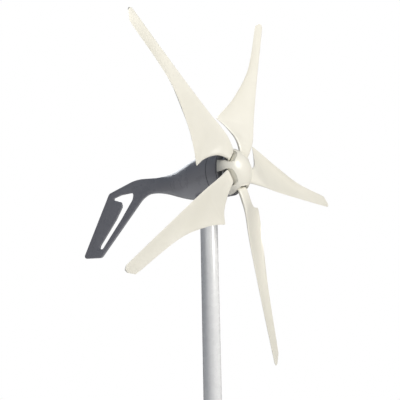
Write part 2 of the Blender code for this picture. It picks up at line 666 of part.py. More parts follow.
def add_generator(head, materials):
    bracket_front = RING_BACK_X + SPIGOT_DEPTH
    stator_back = bracket_front + COIL_OVERHANG + 0.0012
    stator_front = stator_back + CORE_LENGTH
    ring_bore = RING_RADIUS - RING_WALL
    add_piece("generator_ring", turned((
        (RING_BACK_X + GAP, SPIGOT_RADIUS + GAP), (bracket_front + GAP, SPIGOT_RADIUS + GAP),
        (bracket_front + GAP, ring_bore), (RING_FRONT_X, ring_bore), (RING_FRONT_X, RING_RADIUS),
        (RING_BACK_X + GAP, RING_RADIUS)), "X", ROUND), materials["slate_paint"], head)
    outline = []
    for tooth in range(STATOR_TEETH):
        middle = 2 * math.pi * tooth / STATOR_TEETH
        yoke_bore = STATOR_OUTER - STATOR_YOKE
        shoe_half = math.pi / STATOR_TEETH * 0.80
        shoe_radius = STATOR_BORE + 0.0025
        stem_at_yoke = math.asin(TOOTH_HALF_WIDTH / yoke_bore)
        stem_at_shoe = math.asin(TOOTH_HALF_WIDTH / shoe_radius)
        for radius, offset in ((yoke_bore, -math.pi / STATOR_TEETH), (yoke_bore, -stem_at_yoke),
                               (shoe_radius, -stem_at_shoe),
                               (shoe_radius, -shoe_half), (STATOR_BORE, -shoe_half), (STATOR_BORE, 0),
                               (STATOR_BORE, shoe_half), (shoe_radius, shoe_half),
                               (shoe_radius, stem_at_shoe), (yoke_bore, stem_at_yoke)):
            angle = middle + offset
            outline.append((radius * math.sin(angle), radius * math.cos(angle)))
    slots = plate(outline, "YZ", stator_back - 0.01, stator_front + 0.01)
    stator = add_piece("stator_core", rod(stator_back, stator_front, STATOR_OUTER, "X", ROUND),
                       materials["core_steel"], head)
    combine(stator, add_tool("stator_slots", slots, head), "DIFFERENCE")

    coil_low = STATOR_BORE + 0.0032
    coil_high = STATOR_OUTER - STATOR_YOKE - COIL_CLEARANCE
    inner_half = TOOTH_HALF_WIDTH + GAP
    outer_half = inner_half + COIL_THICKNESS
    coils = around(STATOR_TEETH, lambda: coil_ring(stator_back, stator_front, inner_half, outer_half,
                                                   coil_low, coil_high))
    link = tube(stator_front + 0.0012, stator_front + COIL_OVERHANG - 0.0008, coil_low + 0.004,
                coil_high - 0.002, "X", ROUND)
    windings = add_piece("stator_windings", link, materials["copper"], head)
    combine(windings, add_tool("tooth_coils", coils, head), "UNION")
    boss_radius = REAR_BEARING[1] + 0.005
    bearing_front = REAR_BEARING_X + REAR_BEARING[2]
    boss_back = REAR_BEARING_X - 0.0025
    add_piece("rear_bracket", turned((
        (boss_back, SHAFT_RADIUS + 0.004), (REAR_BEARING_X - GAP, SHAFT_RADIUS + 0.004),
        (REAR_BEARING_X - GAP, REAR_BEARING[1]), (bearing_front + GAP, REAR_BEARING[1]),
        (bearing_front + GAP, boss_radius), (bracket_front - 0.004, boss_radius + 0.006),
        (bracket_front, boss_radius + 0.006), (bracket_front, SPIGOT_RADIUS),
        (RING_BACK_X + GAP, SPIGOT_RADIUS), (RING_BACK_X + GAP, boss_radius + 0.004),
        (boss_back + 0.006, boss_radius), (boss_back, boss_radius - 0.002)), "X", ROUND),
        materials["cast_aluminium"], head)
    pocket_start = FRONT_BEARING_X - 0.001
    pocket_end = FRONT_BEARING_X + FRONT_BEARING[2] + GAP
    cover_back = RING_FRONT_X + GAP
    lip_bore = SHAFT_RADIUS + 0.0045
    edge = []
    for step in range(3):
        angle = math.pi / 2 * step / 2
        edge.append((cover_back + COVER_WALL - COVER_EDGE * (1 - math.cos(angle)),
                     RING_RADIUS - COVER_EDGE * (1 - math.sin(angle))))
    boss_outer = FRONT_BEARING[1] + 0.005
    add_piece("front_cover", turned([
        (pocket_start, FRONT_BEARING[1]), (pocket_end, FRONT_BEARING[1]), (pocket_end, lip_bore),
        (COVER_FRONT_X + 0.0025, lip_bore), (COVER_FRONT_X + 0.0025, boss_outer - 0.004),
        (COVER_FRONT_X, boss_outer), (cover_back + COVER_WALL, boss_outer + 0.012)] + edge + [
        (cover_back, RING_RADIUS), (cover_back, boss_outer + 0.003), (pocket_start, boss_outer)],
        "X", ROUND), materials["slate_paint"], head)
    add_piece("shaft_seal", tube(pocket_end + GAP, COVER_FRONT_X + 0.0025, SHAFT_RADIUS + GAP,
                                 lip_bore - GAP, "X", RACE_SIDES), materials["black_rubber"], head)


def coil_ring(back, front, inner_half, outer_half, low, high):
    """A rectangular coil that stands round one stator tooth."""
    shape = bmesh.new()
    loops = []
    for height in (low, high):
        for half, reach in ((inner_half, GAP), (outer_half, COIL_OVERHANG)):
            loops.append([shape.verts.new(place) for place in (
                (back - reach, -half, height), (front + reach, -half, height),
                (front + reach, half, height), (back - reach, half, height))])
    low_in, low_out, high_in, high_out = loops
    for i in range(4):
        shape.faces.new((low_in[i - 1], low_in[i], low_out[i], low_out[i - 1]))
        shape.faces.new((high_in[i - 1], high_in[i], high_out[i], high_out[i - 1]))
        shape.faces.new((low_in[i - 1], low_in[i], high_in[i], high_in[i - 1]))
        shape.faces.new((low_out[i - 1], low_out[i], high_out[i], high_out[i - 1]))
    return shape


# Nacelle casting

def body_sections(inset, sides, stations):
    sections = []
    for x, half_width, above, below in stations:
        ring = []
        for step in range(sides):
            angle = 2 * math.pi * step / sides
            height = (above if math.cos(angle) > 0 else below) - inset
            ring.append(Vector((x, (half_width - inset) * math.sin(angle), height * math.cos(angle))))
        sections.append(ring)
    return sections


def section_at(x):
    """The casting's outer section at a place between two of its stations."""
    for ahead, behind in zip(SECTIONS, SECTIONS[1:]):
        if behind[0] <= x <= ahead[0]:
            part = (x - ahead[0]) / (behind[0] - ahead[0])
            return tuple(a + (b - a) * part for a, b in zip(ahead, behind))
    return SECTIONS[-1]


def add_nacelle(head, materials):
    sides = 24
    body = add_piece("nacelle_body", loft(body_sections(0.0, sides, SECTIONS)),
                     materials["slate_paint"], head)
    lip = [(x, LIP_RADIUS + CASTING_WALL, LIP_RADIUS + CASTING_WALL, LIP_RADIUS + CASTING_WALL)
           for x in (RING_BACK_X + 0.02, LIP_BACK_X)]
    inner = [section_at(LIP_BACK_X - 0.004)]
    inner += [station for station in SECTIONS if CAVITY_BACK_X < station[0] < LIP_BACK_X - 0.004]
    inner.append(section_at(CAVITY_BACK_X))
    cavity = loft(body_sections(CASTING_WALL, sides, lip + inner))
    combine(body, add_tool("nacelle_cavity", cavity, head), "DIFFERENCE")
    neck = rod(NECK_BOTTOM_Z, NECK_TOP_Z, NECK_OUTER, "Z", ROUND)
    combine(body, add_tool("nacelle_neck", neck, head), "UNION")
    half = FIN_THICKNESS / 2
    fin = plate(rounded_outline(FIN_CORNERS), "XZ", -half, half)
    combine(body, add_tool("tail_fin", fin, head), "UNION")
    slot = plate(rounded_outline(SLOT_CORNERS), "XZ", -3 * half, 3 * half)
    combine(body, add_tool("fin_slot", slot, head), "DIFFERENCE")
    pocket = YAW_BEARING[1]
    bore = turned((
        (NECK_BOTTOM_Z - 0.01, 0.0), (NECK_TOP_Z + 0.004, 0.0), (NECK_TOP_Z + 0.004, pocket),
        (YAW_UPPER_Z - GAP, pocket), (YAW_UPPER_Z - GAP, NECK_SHOULDER),
        (YAW_LOWER_Z + YAW_BEARING[2] + GAP, NECK_SHOULDER), (YAW_LOWER_Z + YAW_BEARING[2] + GAP, pocket),
        (NECK_BOTTOM_Z - 0.01, pocket)), "Z", ROUND)
    combine(body, add_tool("neck_bore", bore, head), "DIFFERENCE")


# Yaw shaft, slip ring and brushes

def add_yaw(tower, head, materials):
    shaft_top = YAW_SHAFT_TOP_Z
    shoulder_top = YAW_LOWER_Z - GAP
    yaw_shaft = add_piece("yaw_shaft", turned((
        (FLANGE_BOTTOM_Z, YAW_BORE_RADIUS), (shaft_top, YAW_BORE_RADIUS), (shaft_top, YAW_SHAFT_RADIUS),
        (shoulder_top, YAW_SHAFT_RADIUS), (shoulder_top, YAW_SHOULDER_RADIUS),
        (FLANGE_TOP_Z, YAW_SHOULDER_RADIUS), (FLANGE_TOP_Z, FLANGE_RADIUS),
        (FLANGE_BOTTOM_Z, FLANGE_RADIUS)), "Z", ROUND), materials["cast_aluminium"], tower)
    holes = around(FLANGE_BOLT_COUNT,
                   lambda: moved(rod(MAST_FLANGE_BOTTOM_Z - 0.02, FLANGE_TOP_Z + 0.002,
                                     M8_RADIUS + GAP, "Z", HOLE_SIDES), (FLANGE_BOLT_CIRCLE, 0, 0)),
                   "Z", math.pi / FLANGE_BOLT_COUNT)
    flange_holes = add_tool("flange_bolt_holes", holes, tower)
    combine(yaw_shaft, flange_holes, "DIFFERENCE")
    seal_low = YAW_LOWER_Z - GAP - SEAL_HEIGHT
    add_piece("yaw_seal", tube(seal_low, YAW_LOWER_Z - GAP, YAW_SHOULDER_RADIUS + GAP,
                               YAW_BEARING[1] - GAP, "Z", RACE_SIDES), materials["black_rubber"], head)
    nut_low = YAW_UPPER_Z + YAW_BEARING[2] + GAP
    add_piece("yaw_shaft_nut", tube(nut_low, nut_low + YAW_NUT_HEIGHT, YAW_SHAFT_RADIUS + GAP,
                                    YAW_NUT_RADIUS, "Z", RACE_SIDES), materials["zinc_steel"], tower)
    add_piece("slip_ring_sleeve", tube(SLEEVE_BOTTOM_Z, SLEEVE_TOP_Z, YAW_SHAFT_RADIUS + GAP,
                                       SLEEVE_RADIUS, "Z", RACE_SIDES), materials["phenolic"], tower)
    middle = (SLEEVE_BOTTOM_Z + SLEEVE_TOP_Z) / 2
    levels = [middle + RING_PITCH * (step - (RING_COUNT - 1) / 2) for step in range(RING_COUNT)]
    for number, level in enumerate(levels, 1):
        ring = tube(level - RING_WIDTH / 2, level + RING_WIDTH / 2, SLEEVE_RADIUS + GAP,
                    SLIP_RING_RADIUS, "Z", RACE_SIDES)
        add_piece(f"slip_ring_{number}", ring, materials["brass"], tower)
    holder = add_piece("brush_holder",
                       box((-HOLDER_HALF_WIDTH, HOLDER_INNER_Y, SLEEVE_BOTTOM_Z),
                           (HOLDER_HALF_WIDTH, HOLDER_OUTER_Y, SLEEVE_TOP_Z)),
                       materials["phenolic"], head, smooth=False)
    brush_start = SLIP_RING_RADIUS + GAP
    brush_end = brush_start + BRUSH_LENGTH
    channel_end = HOLDER_OUTER_Y - 0.008
    half_width = BRUSH_WIDTH / 2
    half_height = BRUSH_HEIGHT / 2
    channels = gather([box((-half_width - GAP, HOLDER_INNER_Y - 0.01, level - half_height - GAP),
                           (half_width + GAP, channel_end, level + half_height + GAP))
                       for level in levels])
    combine(holder, add_tool("brush_channels", channels, head), "DIFFERENCE")
    for number, level in enumerate(levels, 1):
        brush = box((-half_width, brush_start, level - half_height),
                    (half_width, brush_end, level + half_height))
        add_piece(f"brush_{number}", brush, materials["carbon"], head, smooth=False)
    return flange_holes


# Mast

def add_mast(tower, ground, materials, flange_holes):
    tube_top = HUB_HEIGHT + MAST_FLANGE_TOP_Z - GAP
    flange = add_piece("mast_flange", tube(MAST_FLANGE_BOTTOM_Z, MAST_FLANGE_TOP_Z, MAST_RADIUS + GAP,
                                           FLANGE_RADIUS, "Z"), materials["white_paint"], tower)
    combine(flange, flange_holes, "DIFFERENCE")
    mast = add_piece("mast_tube", tube(BASE_THICKNESS + GAP, tube_top, MAST_RADIUS - MAST_WALL,
                                       MAST_RADIUS, "Z"), materials["white_paint"], ground)
    exit_hole = moved(rod(0.0, 2 * MAST_RADIUS, CABLE_HOLE_RADIUS, "X", SMALL_ROUND),
                      (0, 0, CABLE_EXIT_Z))
    bmesh.ops.transform(exit_hole, matrix=Matrix.Rotation(math.pi, 4, "Z"), verts=exit_hole.verts)
    combine(mast, add_tool("cable_exit_hole", exit_hole, ground), "DIFFERENCE")
    face = -(MAST_RADIUS + 0.0008)
    inside = -(MAST_RADIUS - 2 * MAST_WALL)
    stem = CABLE_HOLE_RADIUS - GAP
    grommet = turned((
        (inside, GROMMET_BORE), (inside, stem), (face, stem), (face, GROMMET_RIM),
        (face - 0.0025, GROMMET_RIM - 0.001), (face - 0.0025, GROMMET_BORE + 0.001)), "X", SMALL_ROUND)
    add_piece("cable_grommet", moved(grommet, (0, 0, CABLE_EXIT_Z)), materials["black_rubber"], ground)

    nut_top = MAST_FLANGE_BOTTOM_Z - GAP
    nut_bottom = nut_top - M8_NUT_HEIGHT
    flange_bolt = finish_mesh(moved(bolt(nut_bottom - 0.002, FLANGE_TOP_Z + GAP, M8_RADIUS,
                                         M8_HEAD_ACROSS, M8_HEAD_HEIGHT, "Z"),
                                    (FLANGE_BOLT_CIRCLE, 0, 0)), "flange_bolt")
    flange_nut = finish_mesh(moved(hexagon_ring(nut_bottom, nut_top, M8_HEAD_ACROSS, M8_RADIUS + GAP, "Z"),
                                   (FLANGE_BOLT_CIRCLE, 0, 0)), "flange_nut")
    for number in range(FLANGE_BOLT_COUNT):
        for kind, mesh in (("flange_bolt", flange_bolt), ("flange_nut", flange_nut)):
            piece = add_piece(f"{kind}_{number + 1}", mesh, materials["zinc_steel"], tower)
            piece.rotation_euler.z = math.pi / FLANGE_BOLT_COUNT * (2 * number + 1)
    half = BASE_SIDE / 2
    outline = rounded_outline(((half, half, BASE_CORNER), (-half, half, BASE_CORNER),
                               (-half, -half, BASE_CORNER), (half, -half, BASE_CORNER)))
    base = add_piece("base_plate", plate(outline, "XY", 0.0, BASE_THICKNESS), materials["white_paint"],
                     ground)
    reach = ANCHOR_SPACING / 2
    anchors = gather([moved(rod(-BASE_THICKNESS, 2 * BASE_THICKNESS, ANCHOR_HOLE_RADIUS, "Z", 16),
                            (u * reach, v * reach, 0)) for u in (-1, 1) for v in (-1, 1)])
    combine(base, add_tool("anchor_holes", anchors, ground), "DIFFERENCE")
    inner = MAST_RADIUS + GAP
    corner = 0.008
    low = BASE_THICKNESS - 0.001
    profile = ((inner, low), (inner + GUSSET_LENGTH, low), (inner + GUSSET_LENGTH, low + corner),
               (inner + corner, low + GUSSET_HEIGHT), (inner, low + GUSSET_HEIGHT))
    half_plate = GUSSET_THICKNESS / 2
    gussets = around(4, lambda: plate(profile, "XZ", -half_plate, half_plate), "Z", math.pi / 4)
    combine(base, add_tool("base_gussets", gussets, ground), "UNION")


def add_empty(name, place, parent=None):
    empty = bpy.data.objects.new(name, None)
    bpy.context.collection.objects.link(empty)
    empty.location = place
    empty.parent = parent
    return empty


def main():
    for item in list(bpy.data.objects):
        bpy.data.objects.remove(item, do_unlink=True)
    materials = make_materials()
    ground = add_empty("ground", (0, 0, 0))
    tower = add_empty("tower_top", (0, 0, HUB_HEIGHT))
    head = add_empty("yaw_axis", (0, 0, HUB_HEIGHT))
    spin_axis = add_empty("spin_axis", (0, 0, 0), head)
    front_cage = add_empty("front_ball_axis", (0, 0, 0), head)
    rear_cage = add_empty("rear_ball_axis", (0, 0, 0), head)
    yaw_cage = add_empty("yaw_ball_axis", (0, 0, HUB_HEIGHT))

    add_spinner(spin_axis, materials)
    add_blades(spin_axis, materials["ivory_nylon"])
    add_hub(spin_axis, materials)
    add_shaft(spin_axis, materials)
    add_bearing("front_bearing", FRONT_BEARING, FRONT_BEARING_X, "X",
                (head, spin_axis, front_cage), materials)
    add_bearing("rear_bearing", REAR_BEARING, REAR_BEARING_X, "X",
                (head, spin_axis, rear_cage), materials)
    add_generator(head, materials)
    add_nacelle(head, materials)
    add_bearing("yaw_lower", YAW_BEARING, YAW_LOWER_Z, "Z", (head, tower, yaw_cage), materials)
    add_bearing("yaw_upper", YAW_BEARING, YAW_UPPER_Z, "Z", (head, tower, yaw_cage), materials)
    flange_holes = add_yaw(tower, head, materials)
    add_mast(tower, ground, materials, flange_holes)


main()
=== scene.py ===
"""Looks of the small wind turbine: finished meshes and procedural materials around the CAD frame.

Everything is in metres, in the frame of the CAD: +Z up, +X upwind, origin under the mast.
Round pieces are turned from profiles, the blades and the nacelle are lofted, and each
piece takes its place from the boxes of the CAD nodes.
"""
import json
import math

import bmesh
import bpy
from mathutils import Matrix, Vector, noise


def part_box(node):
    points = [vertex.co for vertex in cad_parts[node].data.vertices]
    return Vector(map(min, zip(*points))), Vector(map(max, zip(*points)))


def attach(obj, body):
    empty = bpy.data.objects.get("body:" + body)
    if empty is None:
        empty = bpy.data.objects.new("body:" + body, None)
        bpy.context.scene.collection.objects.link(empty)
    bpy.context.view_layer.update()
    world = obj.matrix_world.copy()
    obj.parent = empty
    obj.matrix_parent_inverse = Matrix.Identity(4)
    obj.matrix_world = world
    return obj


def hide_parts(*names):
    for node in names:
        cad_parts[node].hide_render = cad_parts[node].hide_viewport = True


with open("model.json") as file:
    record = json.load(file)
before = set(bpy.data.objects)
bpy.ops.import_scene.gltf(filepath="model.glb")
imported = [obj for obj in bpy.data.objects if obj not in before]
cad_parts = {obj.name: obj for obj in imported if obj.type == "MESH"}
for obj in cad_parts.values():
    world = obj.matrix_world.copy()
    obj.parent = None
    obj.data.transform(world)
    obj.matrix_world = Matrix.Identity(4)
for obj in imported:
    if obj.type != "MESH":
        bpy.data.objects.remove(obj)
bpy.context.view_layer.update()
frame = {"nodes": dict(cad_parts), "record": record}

# Camera, solved for the view from below and in front
CAMERA_FROM_HUB = Vector((1.3990, -1.8978, -0.6489))
CAMERA_ANGLES = (106.773, 1.022, 37.328)
CAMERA_LENS = 64.75
CAMERA_SHIFT_Y = -0.10

# Places read from the frame
HUB = Vector((0.0, 0.0, (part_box("hub_plate")[0].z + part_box("hub_plate")[1].z) / 2))
SPINNER_LOW, SPINNER_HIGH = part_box("spinner")
SPINNER_RIM_X = SPINNER_LOW.x
SPINNER_HEIGHT = SPINNER_HIGH.x - SPINNER_LOW.x
SPINNER_RADIUS = 0.080
HUB_FRONT_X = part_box("clamp_plate")[0].x - 0.0086
RING_LOW, RING_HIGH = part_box("generator_ring")
RING_RADIUS = (RING_HIGH.z - RING_LOW.z) / 2
COVER_LOW, COVER_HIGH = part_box("front_cover")
MAST_LOW, MAST_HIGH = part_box("mast_tube")
MAST_RADIUS = MAST_HIGH.y
MAST_WALL = 0.003
FLANGE_LOW, FLANGE_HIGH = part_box("mast_flange")
FLANGE_RADIUS = FLANGE_HIGH.x
BASE_LOW, BASE_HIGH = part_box("base_plate")
BASE_THICKNESS = 0.010
TIP_RADIUS = 0.650

# Blade rails, as (distance out from the shaft, offset towards the leading edge, place on X)
BLADE_COUNT = 5
BLADE_PHASE = math.radians(-54.8)
TAB_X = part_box("clamp_plate")[0].x - 0.0043
LEADING_RAIL = ((0.0240, 0.0140, TAB_X), (0.0465, 0.0220, TAB_X), (0.0625, 0.0310, 0.1275),
                (0.0950, 0.0338, 0.1362), (0.1400, 0.0347, 0.1398), (0.2400, 0.0328, 0.1303),
                (0.4200, 0.0268, 0.1222), (TIP_RADIUS, 0.0195, 0.1155))
INNER_RAIL = ((0.0240, -0.0140, TAB_X), (0.0465, -0.0160, TAB_X), (0.0625, -0.0170, 0.1285),
              (0.0800, -0.0235, 0.1280), (0.1090, -0.0440, 0.1190), (0.1320, -0.0820, 0.1030),
              (0.1395, -0.1215, 0.0935))
TRAILING_RAIL = ((0.1470, -0.1205, 0.0950), (0.1900, -0.0995, 0.1050), (0.2650, -0.0690, 0.1150),
                 (0.4100, -0.0310, 0.1215), (TIP_RADIUS - 0.010, -0.0200, 0.1122))
CORNER_PARTNER = 0.200
TAB_THICKNESS = 0.008
NECK_THICKNESS = 0.012
CORNER_THICKNESS = 0.0095
TIP_THICKNESS = 0.0045
CAMBER = 0.035
SHOULDER_SWELL = 0.0035   # thicker between the neck and the trailing corner

# Nacelle casting: sections as (x, half width, height above the axis, depth below it)
SECTIONS = ((RING_LOW.x - 0.0003, 0.0785, 0.0785, 0.0785), (0.010, 0.0760, 0.0755, 0.0780),
            (-0.035, 0.0680, 0.0680, 0.0740), (-0.080, 0.0540, 0.0560, 0.0650),
            (-0.125, 0.0370, 0.0450, 0.0500), (-0.170, 0.0220, 0.0380, 0.0330),
            (-0.215, 0.0110, 0.0380, 0.0210), (-0.262, 0.0048, 0.0400, 0.0160))
CASTING_WALL = 0.004
NECK_RADIUS = 0.0345
NECK_BOTTOM = -0.114
FIN_THICKNESS = 0.009
FIN_CORNERS = ((-0.190, 0.0330, 0.0), (-0.325, 0.0500, 0.20), (-0.462, 0.0180, 0.016),
               (-0.590, -0.2140, 0.010), (-0.495, -0.2210, 0.020), (-0.294, -0.0300, 0.060),
               (-0.262, -0.0165, 0.050), (-0.190, -0.0200, 0.0))
SLOT_CORNERS = ((-0.449, -0.0060, 0.004), (-0.400, 0.0030, 0.060), (-0.338, 0.0020, 0.010),
                (-0.342, -0.0230, 0.020), (-0.397, -0.0890, 0.050), (-0.489, -0.1880, 0.004),
                (-0.507, -0.1880, 0.004), (-0.503, -0.1750, 0.006), (-0.425, -0.0870, 0.030),
                (-0.394, -0.0420, 0.016), (-0.400, -0.0240, 0.008))

ROUND = 96
SEAM_CHAMFER = 0.0016     # along both edges of the seams before and behind the generator ring


# Materials

class Recipe:
    """A material under construction, with short helpers for its nodes."""

    def __init__(self, name):
        self.material = bpy.data.materials.new(name)
        self.material.use_nodes = True
        self.nodes = self.material.node_tree.nodes
        self.links = self.material.node_tree.links
        self.shader = self.nodes["Principled BSDF"]
        self.place = self.nodes.new("ShaderNodeTexCoord").outputs["Object"]

    def stretched(self, scale):
        mapping = self.nodes.new("ShaderNodeMapping")
        mapping.inputs["Scale"].default_value = scale
        self.links.new(self.place, mapping.inputs["Vector"])
        return mapping.outputs["Vector"]

    def noise(self, scale, detail=4.0, roughness=0.55, stretch=(1, 1, 1)):
        texture = self.nodes.new("ShaderNodeTexNoise")
        texture.inputs["Scale"].default_value = scale
        texture.inputs["Detail"].default_value = detail
        texture.inputs["Roughness"].default_value = roughness
        self.links.new(self.stretched(stretch), texture.inputs["Vector"])
        return texture.outputs["Fac"]

    def ramp(self, value, low, high, low_at=0.35, high_at=0.65):
        ramp = self.nodes.new("ShaderNodeValToRGB")
        first, last = ramp.color_ramp.elements
        first.position = low_at
        last.position = high_at
        first.color = low if len(low) == 4 else (*low, 1.0)
        last.color = high if len(high) == 4 else (*high, 1.0)
        self.links.new(value, ramp.inputs["Fac"])
        return ramp.outputs["Color"]

    def grade(self, value, low, high, low_at=0.0, high_at=1.0):
        """Maps a value onto the range low to high."""
        node = self.nodes.new("ShaderNodeMapRange")
        node.inputs["From Min"].default_value = low_at
        node.inputs["From Max"].default_value = high_at
        node.inputs["To Min"].default_value = low
        node.inputs["To Max"].default_value = high
        self.links.new(value, node.inputs["Value"])
        return node.outputs["Result"]

    def blend(self, share, first, second, mode="MIX"):
        node = self.nodes.new("ShaderNodeMix")
        node.data_type = "RGBA"
        node.blend_type = mode
        colours = [socket for socket in node.inputs if socket.type == "RGBA"]
        if isinstance(share, float):
            node.inputs["Factor"].default_value = share
        else:
            self.links.new(share, node.inputs["Factor"])
        for socket, colour in zip(colours, (first, second)):
            if isinstance(colour, tuple):
                socket.default_value = (*colour, 1.0)
            else:
                self.links.new(colour, socket)
        return next(socket for socket in node.outputs if socket.type == "RGBA")

    def axis(self, letter):
        split = self.nodes.new("ShaderNodeSeparateXYZ")
        self.links.new(self.place, split.inputs["Vector"])
        return split.outputs[letter]

    def edges(self, sharpness=0.08):
        """Bright on convex edges and dark in corners, from the mesh's own curvature."""
        point = self.nodes.new("ShaderNodeNewGeometry").outputs["Pointiness"]
        return self.grade(point, 0.0, 1.0, 0.5 + sharpness * 0.2, 0.5 + sharpness)

    def bump(self, value, strength, distance, under=None):
        node = self.nodes.new("ShaderNodeBump")
        node.inputs["Strength"].default_value = strength
        node.inputs["Distance"].default_value = distance
        self.links.new(value, node.inputs["Height"])
        if under is not None:
            self.links.new(under, node.inputs["Normal"])
        return node.outputs["Normal"]

    def finish(self, colour=None, roughness=None, normal=None, **plain):
        for socket, value in (("Base Color", colour), ("Roughness", roughness), ("Normal", normal)):
            if value is None:
                continue
            if isinstance(value, tuple):
                self.shader.inputs[socket].default_value = (*value, 1.0)
            elif isinstance(value, float):
                self.shader.inputs[socket].default_value = value
            else:
                self.links.new(value, self.shader.inputs[socket])
        for name, value in plain.items():
            self.shader.inputs[name.replace("_", " ")].default_value = value
        return self.material


def nylon():
    """Glossy ivory nylon with faint flow clouds, fine speckle and a little dust."""
    recipe = Recipe("ivory_nylon_moulding")
    clouds = recipe.noise(4.0, 4.0, 0.55, (1.0, 1.0, 0.5))
    base = recipe.ramp(clouds, (0.765, 0.745, 0.660), (0.815, 0.795, 0.715))
    speckle = recipe.noise(420.0, 2.0, 0.6)
    speckled = recipe.blend(recipe.grade(speckle, 0.0, 0.06, 0.55, 0.80), base, (0.60, 0.56, 0.47))
    dust = recipe.noise(46.0, 5.0, 0.65)
    dusty = recipe.blend(recipe.grade(dust, 0.0, 0.07, 0.58, 0.80), speckled, (0.66, 0.61, 0.50))
    gloss = recipe.grade(recipe.noise(26.0, 5.0, 0.6), 0.30, 0.42, 0.3, 0.7)
    ripple = recipe.bump(recipe.noise(9.0, 2.0, 0.5), 0.05, 0.003)
    grain = recipe.bump(recipe.noise(240.0, 2.0, 0.5), 0.03, 0.0001, ripple)
    return recipe.finish(dusty, gloss, grain, Coat_Weight=0.20, Coat_Roughness=0.14, IOR=1.48)


def slate():
    """Glossy slate grey enamel over a casting: orange peel, chips at edges, faint dust."""
    recipe = Recipe("slate_enamel")
    clouds = recipe.noise(7.0, 5.0, 0.55)
    base = recipe.ramp(clouds, (0.300, 0.300, 0.325), (0.335, 0.335, 0.362))
    dust = recipe.noise(60.0, 6.0, 0.7)
    dusty = recipe.blend(recipe.grade(dust, 0.0, 0.10, 0.56, 0.80), base, (0.30, 0.28, 0.26))
    worn = recipe.blend(recipe.edges(0.10), dusty, (0.24, 0.25, 0.28))
    gloss = recipe.grade(recipe.noise(30.0, 5.0, 0.6), 0.22, 0.38, 0.3, 0.7)
    cast = recipe.bump(recipe.noise(22.0, 3.0, 0.5), 0.12, 0.003)
    peel = recipe.bump(recipe.noise(300.0, 2.0, 0.5), 0.05, 0.0002, cast)
    return recipe.finish(worn, gloss, peel, Coat_Weight=0.45, Coat_Roughness=0.10, IOR=1.5)


def white_enamel():
    """White enamel on steel tube: orange peel, rain streaks down the tube, faint grime."""
    recipe = Recipe("white_enamel")
    clouds = recipe.noise(6.0, 4.0, 0.5)
    base = recipe.ramp(clouds, (0.80, 0.81, 0.815), (0.86, 0.865, 0.87))
    streaks = recipe.noise(90.0, 5.0, 0.65, (1.0, 1.0, 0.035))
    streaked = recipe.blend(recipe.grade(streaks, 0.0, 0.14, 0.52, 0.78), base, (0.50, 0.50, 0.48))
    spots = recipe.noise(300.0, 3.0, 0.7)
    spotted = recipe.blend(recipe.grade(spots, 0.0, 0.18, 0.66, 0.76), streaked, (0.40, 0.38, 0.34))
    gloss = recipe.grade(recipe.noise(40.0, 5.0, 0.6), 0.18, 0.36, 0.3, 0.7)
    peel = recipe.bump(recipe.noise(260.0, 2.0, 0.5), 0.05, 0.0002)
    return recipe.finish(spotted, gloss, peel, Coat_Weight=0.4, Coat_Roughness=0.08, IOR=1.5)


def metal(name, dark, light, low, high, stretch=(1, 1, 1), scale=180.0, metallic=1.0):
    """Bare or plated metal with a machined or cloudy grain."""
    recipe = Recipe(name)
    grain = recipe.noise(scale, 5.0, 0.6, stretch)
    colour = recipe.ramp(grain, dark, light, 0.3, 0.7)
    worn = recipe.blend(recipe.edges(0.08), colour, light)
    gloss = recipe.grade(recipe.noise(scale * 0.6, 4.0, 0.6, stretch), low, high, 0.3, 0.7)
    return recipe.finish(worn, gloss, recipe.bump(grain, 0.12, 0.0004), Metallic=metallic)


def dull(name, dark, light, low, high, scale=220.0):
    """Rubber, carbon or moulding compound: matte, with a fine uneven skin."""
    recipe = Recipe(name)
    grain = recipe.noise(scale, 5.0, 0.65)
    colour = recipe.ramp(grain, dark, light)
    gloss = recipe.grade(recipe.noise(scale * 0.4, 4.0, 0.6), low, high, 0.3, 0.7)
    return recipe.finish(colour, gloss, recipe.bump(grain, 0.2, 0.0005))


def weld_metal():
    """Painted weld bead: the white enamel with its own ripples."""
    recipe = Recipe("painted_weld")
    grain = recipe.noise(260.0, 4.0, 0.6)
    colour = recipe.ramp(grain, (0.60, 0.61, 0.62), (0.71, 0.72, 0.73))
    return recipe.finish(colour, 0.34, recipe.bump(grain, 0.35, 0.0006), Coat_Weight=0.3)


